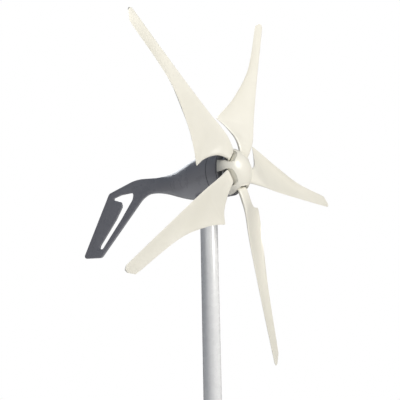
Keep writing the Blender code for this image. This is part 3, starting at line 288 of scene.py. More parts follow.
def make_materials():
    return {
        "ivory_nylon": nylon(),
        "slate_paint": slate(),
        "white_paint": white_enamel(),
        "weld": weld_metal(),
        "cast_aluminium": metal("cast_aluminium_skin", (0.50, 0.51, 0.52), (0.66, 0.67, 0.68),
                                0.38, 0.55),
        "zinc_steel": metal("zinc_plate", (0.50, 0.51, 0.52), (0.70, 0.70, 0.68), 0.26, 0.42),
        "bearing_steel": metal("ground_steel", (0.58, 0.58, 0.60), (0.72, 0.72, 0.73), 0.12, 0.24,
                               (0.1, 1, 1)),
        "bearing_cage": metal("cage_brass", (0.58, 0.44, 0.22), (0.72, 0.58, 0.32), 0.25, 0.4),
        "core_steel": metal("laminated_steel", (0.14, 0.14, 0.15), (0.30, 0.30, 0.31), 0.4, 0.55,
                            (40, 0.2, 0.2), 60.0),
        "nickel": metal("nickel_plate", (0.62, 0.60, 0.56), (0.76, 0.74, 0.70), 0.18, 0.3),
        "copper": metal("enamelled_wire", (0.50, 0.17, 0.06), (0.80, 0.36, 0.16), 0.28, 0.42,
                        (0.2, 30, 30), 60.0),
        "brass": metal("turned_brass", (0.68, 0.50, 0.20), (0.84, 0.66, 0.32), 0.2, 0.32,
                       (1, 1, 12), 120.0),
        "carbon": dull("pressed_carbon", (0.018, 0.018, 0.020), (0.050, 0.050, 0.052), 0.45, 0.65),
        "black_rubber": dull("black_rubber_skin", (0.016, 0.016, 0.017), (0.040, 0.040, 0.041),
                             0.55, 0.75),
        "phenolic": dull("brown_phenolic", (0.10, 0.045, 0.025), (0.18, 0.085, 0.05), 0.35, 0.5),
    }


# Mesh helpers

def new_piece(name, shape, material, smooth_angle=35.0):
    """Makes an object from a bmesh, shaded smooth except at sharp edges."""
    bmesh.ops.recalc_face_normals(shape, faces=shape.faces)
    mesh = bpy.data.meshes.new(name)
    shape.to_mesh(mesh)
    shape.free()
    mesh.materials.append(material)
    mesh.shade_smooth()
    mesh.set_sharp_from_angle(angle=math.radians(smooth_angle))
    piece = bpy.data.objects.new(name, mesh)
    bpy.context.scene.collection.objects.link(piece)
    return piece


def turned(profile, axis="X", sides=ROUND, centre=(0, 0, 0)):
    """Turns a closed profile of (place along the axis, radius) about an axis."""
    shape = bmesh.new()
    rings = []
    for along, radius in profile:
        if radius < 1e-7:
            place = (along, 0, 0) if axis == "X" else (0, 0, along)
            rings.append([shape.verts.new(Vector(place) + Vector(centre))])
            continue
        ring = []
        for step in range(sides):
            angle = 2 * math.pi * step / sides
            u = radius * math.cos(angle)
            v = radius * math.sin(angle)
            place = (along, v, u) if axis == "X" else (u, v, along)
            ring.append(shape.verts.new(Vector(place) + Vector(centre)))
        rings.append(ring)
    for ring, following in zip(rings, rings[1:] + rings[:1]):
        skin(shape, ring, following)
    return shape


def skin(shape, ring, following):
    """Joins two rings with faces; either may be a single point."""
    if len(ring) == 1 and len(following) == 1:
        return
    count = max(len(ring), len(following))
    for i in range(count):
        corners = []
        for loop, order in ((ring, (i - 1, i)), (following, (i, i - 1))):
            if len(loop) == 1:
                corners.append(loop[0])
            else:
                corners += [loop[index % count] for index in order]
        shape.faces.new(corners)


def soften(profile, radius, steps=3, skip=()):
    """Rounds the corners of a closed profile, except the points in skip and those on the axis."""
    corners = []
    for i, (along, out) in enumerate(profile):
        rounding = 0.0 if i in skip or out < 1e-7 else radius
        corners.append((along, out, rounding))
    return [tuple(point) for point in rounded_outline(corners, steps)]


def rounded_outline(corners, steps=10):
    """Rounds each (u, v, radius) corner of a closed outline with an arc."""
    points = []
    count = len(corners)
    for i, (u, v, radius) in enumerate(corners):
        here = Vector((u, v))
        back = Vector(corners[i - 1][:2]) - here
        ahead = Vector(corners[(i + 1) % count][:2]) - here
        if radius <= 0 or back.length < 1e-9 or ahead.length < 1e-9:
            points.append(here)
            continue
        half = back.angle(ahead) / 2
        if half > math.radians(88):
            points.append(here)
            continue
        room = 0.49 * min(back.length, ahead.length)
        radius = min(radius, room * math.tan(half))
        back.normalize()
        ahead.normalize()
        reach = radius / math.tan(half)
        centre = here + (back + ahead).normalized() * radius / math.sin(half)
        first = here + back * reach - centre
        last = here + ahead * reach - centre
        sweep = math.atan2(first.x * last.y - first.y * last.x, first.dot(last))
        for step in range(steps + 1):
            points.append(centre + Matrix.Rotation(sweep * step / steps, 2) @ first)
    return points


def smooth_curve(points, share):
    """A point on a smooth curve through the given points, with share from 0 to 1."""
    spans = len(points) - 1
    place = min(max(share, 0.0) * spans, spans - 1e-9)
    first = int(place)
    part = place - first
    knots = [Vector(points[max(0, min(spans, first + step))]) for step in (-1, 0, 1, 2)]
    if first == 0:
        knots[0] = 2 * knots[1] - knots[2]
    if first == spans - 1:
        knots[3] = 2 * knots[2] - knots[1]
    before, start, end, after = knots
    return 0.5 * (2 * start + (end - before) * part
                  + (2 * before - 5 * start + 4 * end - after) * part ** 2
                  + (3 * start - before - 3 * end + after) * part ** 3)


def loft(sections, closed=True):
    shape = bmesh.new()
    rings = [[shape.verts.new(point) for point in section] for section in sections]
    for ring, following in zip(rings, rings[1:]):
        skin(shape, ring, following)
    if closed:
        shape.faces.new(rings[0])
        shape.faces.new(rings[-1])
    return shape


def plate(outline, plane, low, high):
    """Extrudes a closed outline: plane XZ along Y, YZ along X, XY along Z."""
    shape = bmesh.new()
    place = {
        "XZ": lambda p, depth: (p[0], depth, p[1]),
        "YZ": lambda p, depth: (depth, p[0], p[1]),
        "XY": lambda p, depth: (p[0], p[1], depth),
    }[plane]
    low_ring = [shape.verts.new(place(point, low)) for point in outline]
    high_ring = [shape.verts.new(place(point, high)) for point in outline]
    skin(shape, low_ring, high_ring)
    shape.faces.new(low_ring)
    shape.faces.new(high_ring)
    return shape


def apply_modifiers(piece):
    """Replaces a piece's mesh by its evaluated one."""
    bpy.context.view_layer.update()
    evaluated = piece.evaluated_get(bpy.context.evaluated_depsgraph_get())
    mesh = bpy.data.meshes.new_from_object(evaluated)
    piece.modifiers.clear()
    piece.data = mesh
    return piece


def bevelled(piece, width, segments=3, angle=40.0):
    step = piece.modifiers.new("edge", "BEVEL")
    step.width = width
    step.segments = segments
    step.limit_method = "ANGLE"
    step.angle_limit = math.radians(angle)
    step.harden_normals = False
    return apply_modifiers(piece)


def combined(piece, tool, operation):
    """Joins or cuts a piece with another object, which is used up."""
    step = piece.modifiers.new("shape", "BOOLEAN")
    step.operation = operation
    step.solver = "EXACT"
    step.object = tool
    apply_modifiers(piece)
    bpy.data.objects.remove(tool, do_unlink=True)
    return piece


def resharpen(piece, angle=35.0):
    piece.data.shade_smooth()
    piece.data.set_sharp_from_angle(angle=math.radians(angle))
    return piece


def hexagon_prism(low, high, across, bore, axis, centre, chamfer=0.0008):
    """A hexagon nut or bolt head with its corners turned off at both ends."""
    shape = bmesh.new()
    sides = 48
    corner = across / math.sqrt(3)

    def reach(angle):
        local = (angle + math.pi / 6) % (math.pi / 3) - math.pi / 6
        return across / 2 / math.cos(local)
    rings = []
    levels = [(low, across / 2 * 0.96), (low + chamfer, corner), (high - chamfer, corner),
              (high, across / 2 * 0.96)]
    if bore > 0:
        levels = [(low, bore)] + levels + [(high, bore)]
    else:
        levels = [(low, 0.0)] + levels + [(high, 0.0)]
    for along, limit in levels:
        if limit < 1e-7:
            place = (along, 0, 0) if axis == "X" else (0, 0, along)
            rings.append([shape.verts.new(Vector(place) + Vector(centre))])
            continue
        ring = []
        for step in range(sides):
            angle = 2 * math.pi * step / sides
            radius = min(limit, reach(angle)) if limit > bore + 1e-7 else limit
            u = radius * math.cos(angle)
            v = radius * math.sin(angle)
            place = (along, v, u) if axis == "X" else (u, v, along)
            ring.append(shape.verts.new(Vector(place) + Vector(centre)))
        rings.append(ring)
    for ring, following in zip(rings, rings[1:] + rings[:1]):
        skin(shape, ring, following)
    return shape


def merge_shapes(shapes):
    whole = bmesh.new()
    for shape in shapes:
        mesh = bpy.data.meshes.new("part")
        bmesh.ops.recalc_face_normals(shape, faces=shape.faces)
        shape.to_mesh(mesh)
        shape.free()
        whole.from_mesh(mesh)
        bpy.data.meshes.remove(mesh)
    return whole


def settle(piece, body, slot, *nodes):
    """Hangs a finished piece on its body and hides what it stands for."""
    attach(piece, body)
    for node in nodes:
        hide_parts(node)
    return piece


# Blades

def share_at(rail, reach):
    low = 0.0
    high = 1.0
    for _ in range(30):
        middle = (low + high) / 2
        if smooth_curve(rail, middle)[0] < reach:
            low = middle
        else:
            high = middle
    return low


def eased(value):
    value = min(1.0, max(0.0, value))
    return value * value * (3 - 2 * value)


def half_thickness(share, fullness):
    """Aerofoil half thickness, at most 0.5, blended towards a full rounded slab at the root."""
    foil = 5 * (0.2969 * math.sqrt(share) - 0.1260 * share - 0.3516 * share ** 2
                + 0.2843 * share ** 3 - 0.1015 * share ** 4)
    tail = 0.10 * min(1.0, 12 * (1 - share)) * min(1.0, 12 * share)
    slab = 0.5 * (max(0.0, 1 - abs(2 * share - 1) ** 5)) ** 0.5
    return (max(foil, tail)) * (1 - fullness) + slab * fullness


def blade_section(leading, trailing, thickness, camber, fullness):
    chord = trailing - leading
    length = chord.length
    along = chord.normalized()
    upwind = Vector((0, 0, 1))
    normal = (upwind - along * upwind.dot(along)).normalized()
    half_count = 20
    shares = [(1 - math.cos(math.pi * step / half_count)) / 2 for step in range(half_count + 1)]
    loop = [(share, 1) for share in shares] + [(share, -1) for share in shares[-2:0:-1]]
    points = []
    for share, side in loop:
        bend = -4 * camber * length * share * (1 - share)
        height = side * half_thickness(share, fullness) * thickness
        point = leading + chord * share + normal * (bend + height)
        points.append(Vector((point.z, point.y, point.x)))
    return points


def blade_stations():
    corner = share_at(LEADING_RAIL, CORNER_PARTNER)
    stations = []
    inner_steps = 44
    for step in range(inner_steps):
        part = step / (inner_steps - 1)
        leading = smooth_curve(LEADING_RAIL, corner * part ** 0.9)
        trailing = smooth_curve(INNER_RAIL, part)
        neck = eased((part - 0.18) / 0.2)
        after = eased((part - 0.35) / 0.65)
        thickness = TAB_THICKNESS + (NECK_THICKNESS - TAB_THICKNESS) * neck
        thickness += (CORNER_THICKNESS - NECK_THICKNESS) * after + SHOULDER_SWELL * math.sin(math.pi * after)
        fullness = 1 - 0.6 * after
        stations.append((leading, trailing, thickness, CAMBER * after, fullness))
    outer_steps = 56
    start = corner + 0.012
    round_from = 0.975
    for step in range(outer_steps):
        part = step / (outer_steps - 1)
        leading = smooth_curve(LEADING_RAIL, start + (1 - start) * part)
        trailing = smooth_curve(TRAILING_RAIL, part ** 1.25)
        if part > round_from:
            closing = 1 - math.sqrt(max(0.0, 1 - ((part - round_from) / (1 - round_from)) ** 2))
            middle = leading * 0.62 + trailing * 0.38
            leading = leading.lerp(middle, 0.45 * closing)
            trailing = trailing.lerp(middle, 0.80 * closing)
        thickness = CORNER_THICKNESS + (TIP_THICKNESS - CORNER_THICKNESS) * part
        fullness = 0.4 * (1 - eased(part * 2))
        stations.append((leading, trailing, thickness, CAMBER, fullness))
    return stations


def make_blades(material):
    shape = loft([blade_section(*station) for station in blade_stations()])
    master = new_piece("blade", shape, material, 75.0)
    for number in range(BLADE_COUNT):
        turn = Matrix.Rotation(-(BLADE_PHASE + 2 * math.pi * number / BLADE_COUNT), 4, "X")
        mesh = master.data.copy()
        mesh.transform(Matrix.Translation(HUB) @ turn)
        blade = bpy.data.objects.new(f"blade_skin_{number + 1}", mesh)
        bpy.context.scene.collection.objects.link(blade)
        settle(blade, "rotor", "ivory_nylon", f"blade_{number + 1}")
    bpy.data.objects.remove(master, do_unlink=True)


# Spinner

SPINNER_WALL = 0.0025
CUFF_HALF = 0.0014        # half the thickness of the wall round each notch
CUFF_FOOT_X = 0.1268
NOTCH = ((0.0345, 0.052, 0.012), (0.0345, 0.200, 0), (-0.0240, 0.200, 0), (-0.0240, 0.052, 0.012))


def dome_x(radius, inset=0.0):
    share = min(1.0, radius / (SPINNER_RADIUS - inset))
    return SPINNER_RIM_X + (SPINNER_HEIGHT - inset) * math.sqrt(1 - share * share)


def notch_cuff():
    """The wall round a notch: a rounded lip over the dome, and a skirt down towards the blade."""
    outline = rounded_outline([NOTCH[1], NOTCH[0], NOTCH[3], NOTCH[2]], 16)
    dense = []
    for first, second in zip(outline, outline[1:]):
        steps = max(1, int((second - first).length / 0.0015))
        dense += [first.lerp(second, step / steps) for step in range(steps)]
    middle = Vector(((NOTCH[0][0] + NOTCH[3][0]) / 2, 0.075))
    rings = []
    for i in range(1, len(dense) - 1):
        ahead = (dense[i + 1] - dense[i - 1]).normalized()
        out = Vector((ahead.y, -ahead.x))
        if out.dot(dense[i] - middle) < 0:
            out = -out
        centre = dense[i] + out * CUFF_HALF
        if centre.length > SPINNER_RADIUS - 0.0010:
            continue
        top = dome_x(centre.length) + 0.0002
        bottom = min(CUFF_FOOT_X, top - 0.0030)
        section = [(bottom, -CUFF_HALF)]
        for step in range(9):
            angle = math.pi * step / 8
            section.append((top + CUFF_HALF * math.sin(angle), -CUFF_HALF * math.cos(angle)))
        section.append((bottom, CUFF_HALF))
        rings.append([Vector((x, centre.x + out.x * aside, centre.y + out.y * aside))
                      for x, aside in section])
    return loft(rings)


def make_spinner(material):
    steps = 40
    outer = []
    inner = []
    for step in range(steps + 1):
        angle = math.pi / 2 * step / steps
        outer.append((SPINNER_RIM_X + SPINNER_HEIGHT * math.sin(angle),
                      SPINNER_RADIUS * math.cos(angle)))
        inner.append((SPINNER_RIM_X + (SPINNER_HEIGHT - SPINNER_WALL) * math.sin(angle),
                      (SPINNER_RADIUS - SPINNER_WALL) * math.cos(angle)))
    profile = outer[:-1] + [(outer[-1][0], 0.0), (inner[-1][0], 0.0)] + inner[-2::-1]
    spinner = new_piece("spinner_dome", turned(profile, "X", 160), material)
    start = -BLADE_PHASE
    shapes = []
    outline = rounded_outline(NOTCH, 14)
    for number in range(BLADE_COUNT):
        shape = plate(outline, "YZ", SPINNER_RIM_X - 0.02, SPINNER_RIM_X + 2 * SPINNER_HEIGHT)
        turn = Matrix.Rotation(start - 2 * math.pi * number / BLADE_COUNT, 4, "X")
        bmesh.ops.transform(shape, matrix=turn, verts=shape.verts)
        shapes.append(shape)
    combined(spinner, new_piece("notches", merge_shapes(shapes), material), "DIFFERENCE")
    posts = []
    beads = []
    post_circle = 0.058
    post_radius = 0.0042
    for number in range(BLADE_COUNT):
        angle = start - 2 * math.pi * number / BLADE_COUNT
        post = turned(((HUB_FRONT_X + 0.0003, 0.0), (dome_x(post_circle + post_radius) - 0.001, 0.0),
                       (dome_x(post_circle + post_radius) - 0.001, post_radius),
                       (HUB_FRONT_X + 0.0003, post_radius)), "X", 32, (0, 0, post_circle))
        bmesh.ops.transform(post, matrix=Matrix.Rotation(angle + math.pi / BLADE_COUNT, 4, "X"),
                            verts=post.verts)
        posts.append(post)
        bead = notch_cuff()
        bmesh.ops.transform(bead, matrix=Matrix.Rotation(angle, 4, "X"), verts=bead.verts)
        beads.append(bead)
    combined(spinner, new_piece("posts", merge_shapes(posts), material), "UNION")
    combined(spinner, new_piece("lips", merge_shapes(beads), material), "UNION")
    resharpen(spinner, 32.0)
    spinner.data.transform(Matrix.Translation(HUB))
    settle(spinner, "rotor", "ivory_nylon", "spinner")


# Nacelle, generator ring and front cover

def nacelle_sections(inset=0.0, sides=ROUND, x_from=None, x_to=None):
    count = 64
    sections = []
    for step in range(count + 1):
        x, half_width, above, below = smooth_sections(step / count)
        if x_from is not None and not x_to <= x <= x_from:
            continue
        ring = []
        for k in range(sides):
            angle = 2 * math.pi * k / sides
            height = (above if math.cos(angle) > 0 else below) - inset
            ring.append(Vector((x, (half_width - inset) * math.sin(angle), height * math.cos(angle))))
        sections.append(ring)
    return sections


def smooth_sections(share):
    first = smooth_curve([section[:3] for section in SECTIONS], share)
    second = smooth_curve([(section[0], section[3], 0) for section in SECTIONS], share)
    return first[0], first[1], first[2], second[1]


def make_fin(material):
    half = FIN_THICKNESS / 2
    fin = new_piece("fin", plate(rounded_outline(FIN_CORNERS, 12), "XZ", -half, half), material)
    slot = new_piece("slot", plate(rounded_outline(SLOT_CORNERS, 12), "XZ", -3 * half, 3 * half),
                     material)
    combined(fin, slot, "DIFFERENCE")
    return bevelled(fin, 0.0030, 4, 60.0)


def make_nacelle(material):
    chamfer = SEAM_CHAMFER
    front = SECTIONS[0]
    sections = nacelle_sections()
    lead = [Vector((front[0], point.y * (1 - chamfer / front[1]), point.z * (1 - chamfer / front[1])))
            for point in sections[0]]
    sections[0] = [Vector((front[0] - chamfer, point.y, point.z)) for point in sections[0]]
    sections.insert(0, lead)
    body = new_piece("nacelle_casting", loft(sections), material)
    cavity = [[Vector((x, 0.072 * math.sin(2 * math.pi * k / 64), 0.072 * math.cos(2 * math.pi * k / 64)))
               for k in range(64)] for x in (front[0] + 0.02, 0.030)]
    cavity = [[point * 1.0 for point in ring] for ring in cavity]
    for ring in cavity:
        for point in ring:
            point.y *= 0.068 / 0.072
            point.z *= 0.068 / 0.072
    cavity += nacelle_sections(CASTING_WALL, 64, 0.026, -0.100)
    combined(body, new_piece("cavity", loft(cavity), material), "DIFFERENCE")
    flare = ((NECK_BOTTOM, 0.0), (-0.046, 0.0), (-0.046, NECK_RADIUS), (-0.0600, NECK_RADIUS + 0.010),
             (-0.0700, NECK_RADIUS + 0.0085), (-0.0780, NECK_RADIUS + 0.0045),
             (-0.0860, NECK_RADIUS + 0.0015), (-0.0940, NECK_RADIUS),
             (NECK_BOTTOM + 0.0012, NECK_RADIUS), (NECK_BOTTOM, NECK_RADIUS - 0.0012))
    combined(body, new_piece("neck", turned(flare, "Z"), material), "UNION")
    combined(body, make_fin(material), "UNION")
    bore = ((NECK_BOTTOM - 0.01, 0.0), (-0.040, 0.0), (-0.040, 0.0278), (-0.0603, 0.0278),
            (-0.0603, 0.0245), (-0.0944, 0.0245), (-0.0944, 0.0278), (NECK_BOTTOM - 0.01, 0.0278))
    combined(body, new_piece("bore", turned(bore, "Z", 64), material), "DIFFERENCE")
    resharpen(body, 38.0)
    body.data.transform(Matrix.Translation(HUB))
    settle(body, "head", "slate_paint", "nacelle_body")


def make_generator(materials):
    low = RING_LOW.x
    high = RING_HIGH.x
    inner = RING_RADIUS - 0.008
    ring = new_piece("generator_shell", turned(soften((
        (low, inner + 0.0018), (low, RING_RADIUS - SEAM_CHAMFER), (low + SEAM_CHAMFER, RING_RADIUS),
        (high - SEAM_CHAMFER, RING_RADIUS), (high, RING_RADIUS - SEAM_CHAMFER), (high, inner),
        (low + 0.0052, inner), (low + 0.0052, inner + 0.0018)), 0.0004), "X", 128, HUB),
        materials["slate_paint"])
    settle(ring, "head", "slate_paint", "generator_ring")
    # Thin black rings at the bottom of the seam grooves before and behind the generator ring: painted shadow
    # of the seam gaps, made as black rubber
    for name, middle in (("rear_seam_shadow", low - 0.00015), ("front_seam_shadow", high + 0.00015)):
        foot = RING_RADIUS - SEAM_CHAMFER
        seam_shadow = turned(((middle - 0.0001, foot + 0.0001), (middle + 0.0001, foot + 0.0001),
                         (middle + 0.0007, foot + 0.0007), (middle - 0.0007, foot + 0.0007)),
                        "X", 128, HUB)
        settle(new_piece(name, seam_shadow, materials["black_rubber"]), "head", "black_rubber")
    back = COVER_LOW.x
    front = COVER_HIGH.x
    wall = RING_HIGH.x + 0.0003
    boss = 0.0285
    profile = soften((
        (back, 0.0237), (front - 0.0028, 0.0237), (front - 0.0028, 0.0145), (front, 0.0145),
        (front, boss - 0.004), (front - 0.0025, boss), (wall + 0.0045, boss + 0.012),
        (wall + 0.004, RING_RADIUS), (wall + SEAM_CHAMFER, RING_RADIUS),
        (wall, RING_RADIUS - SEAM_CHAMFER), (wall, boss + 0.003), (back, boss)), 0.0012, 4,
        skip=(8, 9))
    cover = new_piece("front_cover_shell", turned(profile, "X", 128, HUB), materials["slate_paint"])
    settle(cover, "head", "slate_paint", "front_cover")
    make_cover_screws(wall + 0.0042, materials["zinc_steel"])


def make_cover_screws(seat, material):
    """Cap screws that hold the front cover, each with a hexagon socket."""
    count = 6
    circle = 0.0690
    shapes = []
    for number in range(count):
        angle = 2 * math.pi * (number + 0.5) / count
        head = turned(soften(((seat, 0.0), (seat + 0.0026, 0.0), (seat + 0.0026, 0.0035),
                              (seat, 0.0035)), 0.0005, 2), "X", 32, (0, 0, circle))
        bmesh.ops.transform(head, matrix=Matrix.Rotation(angle, 4, "X"), verts=head.verts)
        shapes.append(head)
    screws = new_piece("cover_screws", merge_shapes(shapes), material)
    sockets = []
    for number in range(count):
        angle = 2 * math.pi * (number + 0.5) / count
        socket = turned(((seat + 0.0010, 0.0), (seat + 0.005, 0.0), (seat + 0.005, 0.0018),
                         (seat + 0.0010, 0.0018)), "X", 6, (0, 0, circle))
        bmesh.ops.transform(socket, matrix=Matrix.Rotation(angle, 4, "X"), verts=socket.verts)
        sockets.append(socket)
    combined(screws, new_piece("sockets", merge_shapes(sockets), material), "DIFFERENCE")
    resharpen(screws)
    screws.data.transform(Matrix.Translation(HUB))
    settle(screws, "head", "zinc_steel")


# Mast, flanges and base

def make_mast(materials):
    low = MAST_LOW.z
    high = MAST_HIGH.z
    inner = MAST_RADIUS - MAST_WALL
    mast = new_piece("mast_pipe", turned(soften(((low, inner), (high, inner), (high, MAST_RADIUS),
                                                 (low, MAST_RADIUS)), 0.0008), "Z", 128),
                     materials["white_paint"])
    grommet_low, grommet_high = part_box("cable_grommet")
    level = (grommet_low.z + grommet_high.z) / 2
    drill = turned(((-2 * MAST_RADIUS, 0.0), (0.0, 0.0), (0.0, 0.009), (-2 * MAST_RADIUS, 0.009)),
                   "X", 48, (0, 0, level))
    combined(mast, new_piece("drill", drill, materials["white_paint"]), "DIFFERENCE")
    resharpen(mast)
    settle(mast, "tower", "white_paint", "mast_tube")
    make_grommet(grommet_low, grommet_high, level, materials["black_rubber"])


def make_grommet(low, high, level, material):
    rim = (high.z - low.z) / 2
    face = -(MAST_RADIUS + 0.0006)
    profile = soften(((high.x, 0.0052), (high.x, 0.0086), (face, 0.0086), (face, rim),
                      (low.x, rim - 0.0015), (low.x, 0.0062)), 0.0008, 4)
    grommet = new_piece("grommet_rubber", turned(profile, "X", 64, (0, 0, level)), material)
    settle(grommet, "tower", "black_rubber", "cable_grommet")


def flange_disc(name, profile, holes_low, holes_high, materials, node):
    """A turned flange with its four clearance holes."""
    material = materials["white_paint"]
    disc = new_piece(name, turned(profile, "Z", 128), material)
    bolt_low, bolt_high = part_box("flange_bolt_1")
    middle = (bolt_low + bolt_high) / 2
    drills = []
    for number in range(4):
        drill = turned(((holes_low, 0.0), (holes_high, 0.0), (holes_high, 0.0043), (holes_low, 0.0043)),
                       "Z", 32, (middle.x, middle.y, 0))
        bmesh.ops.transform(drill, matrix=Matrix.Rotation(math.pi / 2 * number, 4, "Z"),
                            verts=drill.verts)
        drills.append(drill)
    combined(disc, new_piece("drills", merge_shapes(drills), material), "DIFFERENCE")
    resharpen(disc)
    settle(disc, "tower", "white_paint", node)


def make_flanges(materials):
    low = FLANGE_LOW.z
    high = FLANGE_HIGH.z
    flange_disc("mast_flange_disc",
                soften(((low, MAST_RADIUS + 0.0003), (high, MAST_RADIUS + 0.0003),
                        (high, FLANGE_RADIUS), (low, FLANGE_RADIUS)), 0.0010),
                low - 0.02, high + 0.02, materials, "mast_flange")
    shaft_low, shaft_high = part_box("yaw_shaft")
    neck = 0.0195
    top = shaft_low.z + high - low
    shoulder = top + 0.0090
    flange_disc("yaw_shaft_flange",
                soften(((shaft_low.z, 0.009), (shaft_high.z, 0.009), (shaft_high.z, 0.015),
                        (shoulder, 0.015), (shoulder, neck), (top, neck), (top, FLANGE_RADIUS),
                        (shaft_low.z, FLANGE_RADIUS)), 0.0008),
                shaft_low.z - 0.02, top + 0.004, materials, "yaw_shaft")
    weld_ring("mast_flange_weld", low - 0.0002, -1, materials["weld"])


def weld_ring(name, level, side, material):
    """A fillet weld bead with ripples, round the mast."""
    steps = 220
    sides = 10
    leg = 0.0042
    shape = bmesh.new()
    rings = []
    for step in range(steps):
        angle = 2 * math.pi * step / steps
        ripple = 1 + 0.10 * math.sin(step * 2 * math.pi / 5.5) + 0.06 * noise.noise(
            Vector((math.cos(angle) * 9, math.sin(angle) * 9, level)))
        out = Vector((math.cos(angle), math.sin(angle), 0))
        corner = out * (MAST_RADIUS + 0.0004) + Vector((0, 0, level))
        ring = [shape.verts.new(corner)]
        for k in range(sides + 1):
            turn = math.pi / 2 * k / sides
            reach = leg * ripple * (1 - 0.22 * math.sin(2 * turn))
            ring.append(shape.verts.new(corner + out * reach * math.cos(turn)
                                        + Vector((0, 0, side * reach * math.sin(turn)))))
        rings.append(ring)
    for i, ring in enumerate(rings):
        skin(shape, rings[i - 1], ring)
    settle(new_piece(name, shape, material, 60.0), "tower", "white_paint")


def make_fasteners(materials):
    zinc = materials["zinc_steel"]
    for number in range(1, 5):
        low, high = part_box(f"flange_bolt_{number}")
        middle = (low + high) / 2
        head = high.z - 0.0053
        bolt = merge_shapes([hexagon_prism(head, high.z, 0.013, 0.0, "Z", (middle.x, middle.y, 0))])
        threads = threaded_rod(low.z, head - 0.0002, 0.0039, 0.00125, (middle.x, middle.y))
        piece = new_piece(f"flange_bolt_hex_{number}", merge_shapes([bolt, threads]), zinc)
        settle(piece, "tower", "zinc_steel", f"flange_bolt_{number}")
        low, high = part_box(f"flange_nut_{number}")
        nut = new_piece(f"flange_nut_hex_{number}",
                        hexagon_prism(low.z, high.z, 0.013, 0.0043, "Z", (middle.x, middle.y, 0)), zinc)
        settle(nut, "tower", "zinc_steel", f"flange_nut_{number}")


def threaded_rod(low, high, radius, pitch, centre):
    """A rod whose surface rises and falls as a thread along its length."""
    turns = int((high - low) / pitch)
    profile = [(low, 0.0), (high, 0.0)]
    for step in range(turns):
        top = high - pitch * step
        profile += [(top, radius - 0.0005), (top - pitch / 2, radius)]
    profile.append((low, radius - 0.0005))
    return turned(profile, "Z", 24, (*centre, 0))


def make_base(materials):
    white = materials["white_paint"]
    half = BASE_HIGH.x
    outline = rounded_outline([(u * half, v * half, 0.018) for u, v in ((1, 1), (-1, 1), (-1, -1), (1, -1))],
                              8)
    base = new_piece("base_plate_steel", plate(outline, "XY", 0.0, BASE_THICKNESS), white)
    drills = [turned(((-0.01, 0.0), (0.03, 0.0), (0.03, 0.007), (-0.01, 0.007)), "Z", 48,
                     (u * 0.09, v * 0.09, 0)) for u in (-1, 1) for v in (-1, 1)]
    combined(base, new_piece("drills", merge_shapes(drills), white), "DIFFERENCE")
    bevelled(base, 0.0011, 3, 50.0)
    resharpen(base)
    settle(base, "tower", "white_paint", "base_plate")
    inner = MAST_RADIUS + 0.0003
    top = BASE_HIGH.z
    profile = rounded_outline(((inner, BASE_THICKNESS, 0), (inner + 0.060, BASE_THICKNESS, 0),
                               (inner + 0.060, BASE_THICKNESS + 0.008, 0.003),
                               (inner + 0.008, top, 0.004), (inner, top, 0)), 6)
    for number in range(4):
        turn = Matrix.Rotation(math.pi / 2 * number + math.pi / 4, 4, "Z")
        gusset = bevelled(new_piece(f"gusset_{number + 1}", plate(profile, "XZ", -0.003, 0.003), white),
                          0.0008, 2, 50.0)
        gusset.data.transform(turn)
        resharpen(gusset)
        settle(gusset, "tower", "white_paint")
        bead = weld_line(f"gusset_weld_{number + 1}", inner, inner + 0.058, turn, materials["weld"])
        settle(bead, "tower", "white_paint")
    weld_ring("base_weld", BASE_THICKNESS + 0.0002, 1, materials["weld"])


def weld_line(name, start, end, turn, material):
    """Fillet beads along both sides of a gusset's foot."""
    shapes = []
    for side in (-1, 1):
        rings = []
        steps = 60
        for step in range(steps + 1):
            x = start + 0.004 + (end - start - 0.004) * step / steps
            leg = 0.0036 * (1 + 0.10 * math.sin(step * 1.3) + 0.05 * noise.noise(Vector((x * 300, side, 0))))
            if step in (0, steps):
                leg *= 0.6
            corner = Vector((x, side * 0.0031, BASE_THICKNESS + 0.0001))
            ring = [corner]
            for k in range(7):
                angle = math.pi / 2 * k / 6
                reach = leg * (1 - 0.22 * math.sin(2 * angle))
                ring.append(corner + Vector((0, side * reach * math.cos(angle), reach * math.sin(angle))))
            rings.append(ring)
        shapes.append(loft(rings))
    piece = new_piece(name, merge_shapes(shapes), material, 60.0)
    piece.data.transform(turn)
    return piece


# CAD nodes that keep their shape

def dress_nodes(materials):
    for entry in frame["record"]["subparts"]:
        node = frame["nodes"][entry["node"]]
        slots = node.data.materials
        slots.clear()
        slots.append(materials[entry["material_slot"]])


# Stage, light and camera

def make_stage():
    size = 4.0
    shape = bmesh.new()
    sides = 96
    rim = [shape.verts.new((size * math.cos(2 * math.pi * k / sides),
                            size * math.sin(2 * math.pi * k / sides), 0)) for k in range(sides)]
    shape.faces.new(rim)
    recipe = Recipe("pale_floor")
    tone = recipe.ramp(recipe.noise(3.0, 3.0, 0.5), (0.86, 0.845, 0.825), (0.89, 0.875, 0.855))
    recipe.shader.inputs["Emission Color"].default_value = (1.0, 1.0, 1.0, 1.0)
    recipe.shader.inputs["Emission Strength"].default_value = 0.16
    floor = new_piece("floor", shape, recipe.finish(tone, 0.75))


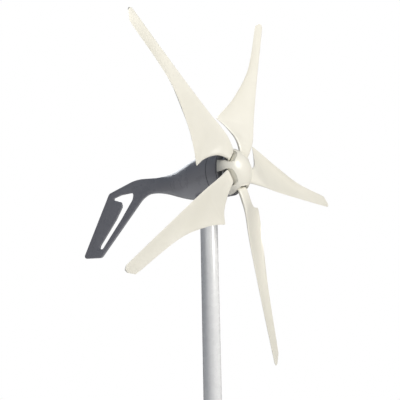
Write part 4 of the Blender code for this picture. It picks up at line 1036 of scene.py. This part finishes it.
def make_world():
    world = bpy.data.worlds.new("studio")
    bpy.context.scene.world = world
    world.use_nodes = True
    nodes = world.node_tree.nodes
    links = world.node_tree.links
    output = nodes["World Output"]
    soft = nodes["Background"]
    direction = nodes.new("ShaderNodeTexCoord").outputs["Generated"]
    split = nodes.new("ShaderNodeSeparateXYZ")
    links.new(direction, split.inputs["Vector"])
    ramp = nodes.new("ShaderNodeValToRGB")
    ramp.color_ramp.elements[0].position = 0.42
    ramp.color_ramp.elements[0].color = (0.62, 0.58, 0.54, 1)
    ramp.color_ramp.elements[1].position = 0.80
    ramp.color_ramp.elements[1].color = (0.62, 0.72, 0.90, 1)
    lift = nodes.new("ShaderNodeMapRange")
    lift.inputs["From Min"].default_value = -1.0
    links.new(split.outputs["Z"], lift.inputs["Value"])
    links.new(lift.outputs["Result"], ramp.inputs["Fac"])
    links.new(ramp.outputs["Color"], soft.inputs["Color"])
    soft.inputs["Strength"].default_value = 0.18
    backdrop = nodes.new("ShaderNodeBackground")
    backdrop.inputs["Color"].default_value = (1, 1, 1, 1)
    backdrop.inputs["Strength"].default_value = 1.0
    mix = nodes.new("ShaderNodeMixShader")
    links.new(nodes.new("ShaderNodeLightPath").outputs["Is Camera Ray"], mix.inputs["Fac"])
    links.new(soft.outputs["Background"], mix.inputs[1])
    links.new(backdrop.outputs["Background"], mix.inputs[2])
    links.new(mix.outputs["Shader"], output.inputs["Surface"])


def add_light(name, place, aim, size, power, colour):
    light = bpy.data.lights.new(name, "AREA")
    light.shape = "DISK"
    light.size = size
    light.energy = power
    light.color = colour
    lamp = bpy.data.objects.new(name, light)
    bpy.context.scene.collection.objects.link(lamp)
    lamp.location = place
    lamp.rotation_euler = (Vector(aim) - Vector(place)).to_track_quat("-Z", "Y").to_euler()


def make_lights():
    add_light("key", HUB + Vector((3.4, 0.3, 1.45)), HUB, 1.5, 118, (1.0, 0.975, 0.93))
    add_light("fill", HUB + Vector((0.6, -3.6, 1.6)), HUB, 2.6, 16, (0.90, 0.94, 1.0))
    add_light("back", HUB + Vector((-2.6, 1.6, 1.8)), HUB, 2.0, 20, (0.94, 0.97, 1.0))


def make_camera():
    data = bpy.data.cameras.new("camera")
    camera = bpy.data.objects.new("camera", data)
    bpy.context.scene.collection.objects.link(camera)
    data.sensor_width = 36.0
    data.lens = CAMERA_LENS
    data.shift_y = CAMERA_SHIFT_Y
    camera.location = HUB + CAMERA_FROM_HUB
    camera.rotation_euler = [math.radians(angle) for angle in CAMERA_ANGLES]
    bpy.context.scene.camera = camera
    bpy.context.scene.view_settings.view_transform = "Standard"


def main():
    make_camera()
    make_world()
    make_lights()
    make_stage()
    materials = make_materials()
    dress_nodes(materials)
    make_blades(materials["ivory_nylon"])
    make_spinner(materials["ivory_nylon"])
    make_nacelle(materials["slate_paint"])
    make_generator(materials)
    make_mast(materials)
    make_flanges(materials)
    make_fasteners(materials)
    make_base(materials)


main()
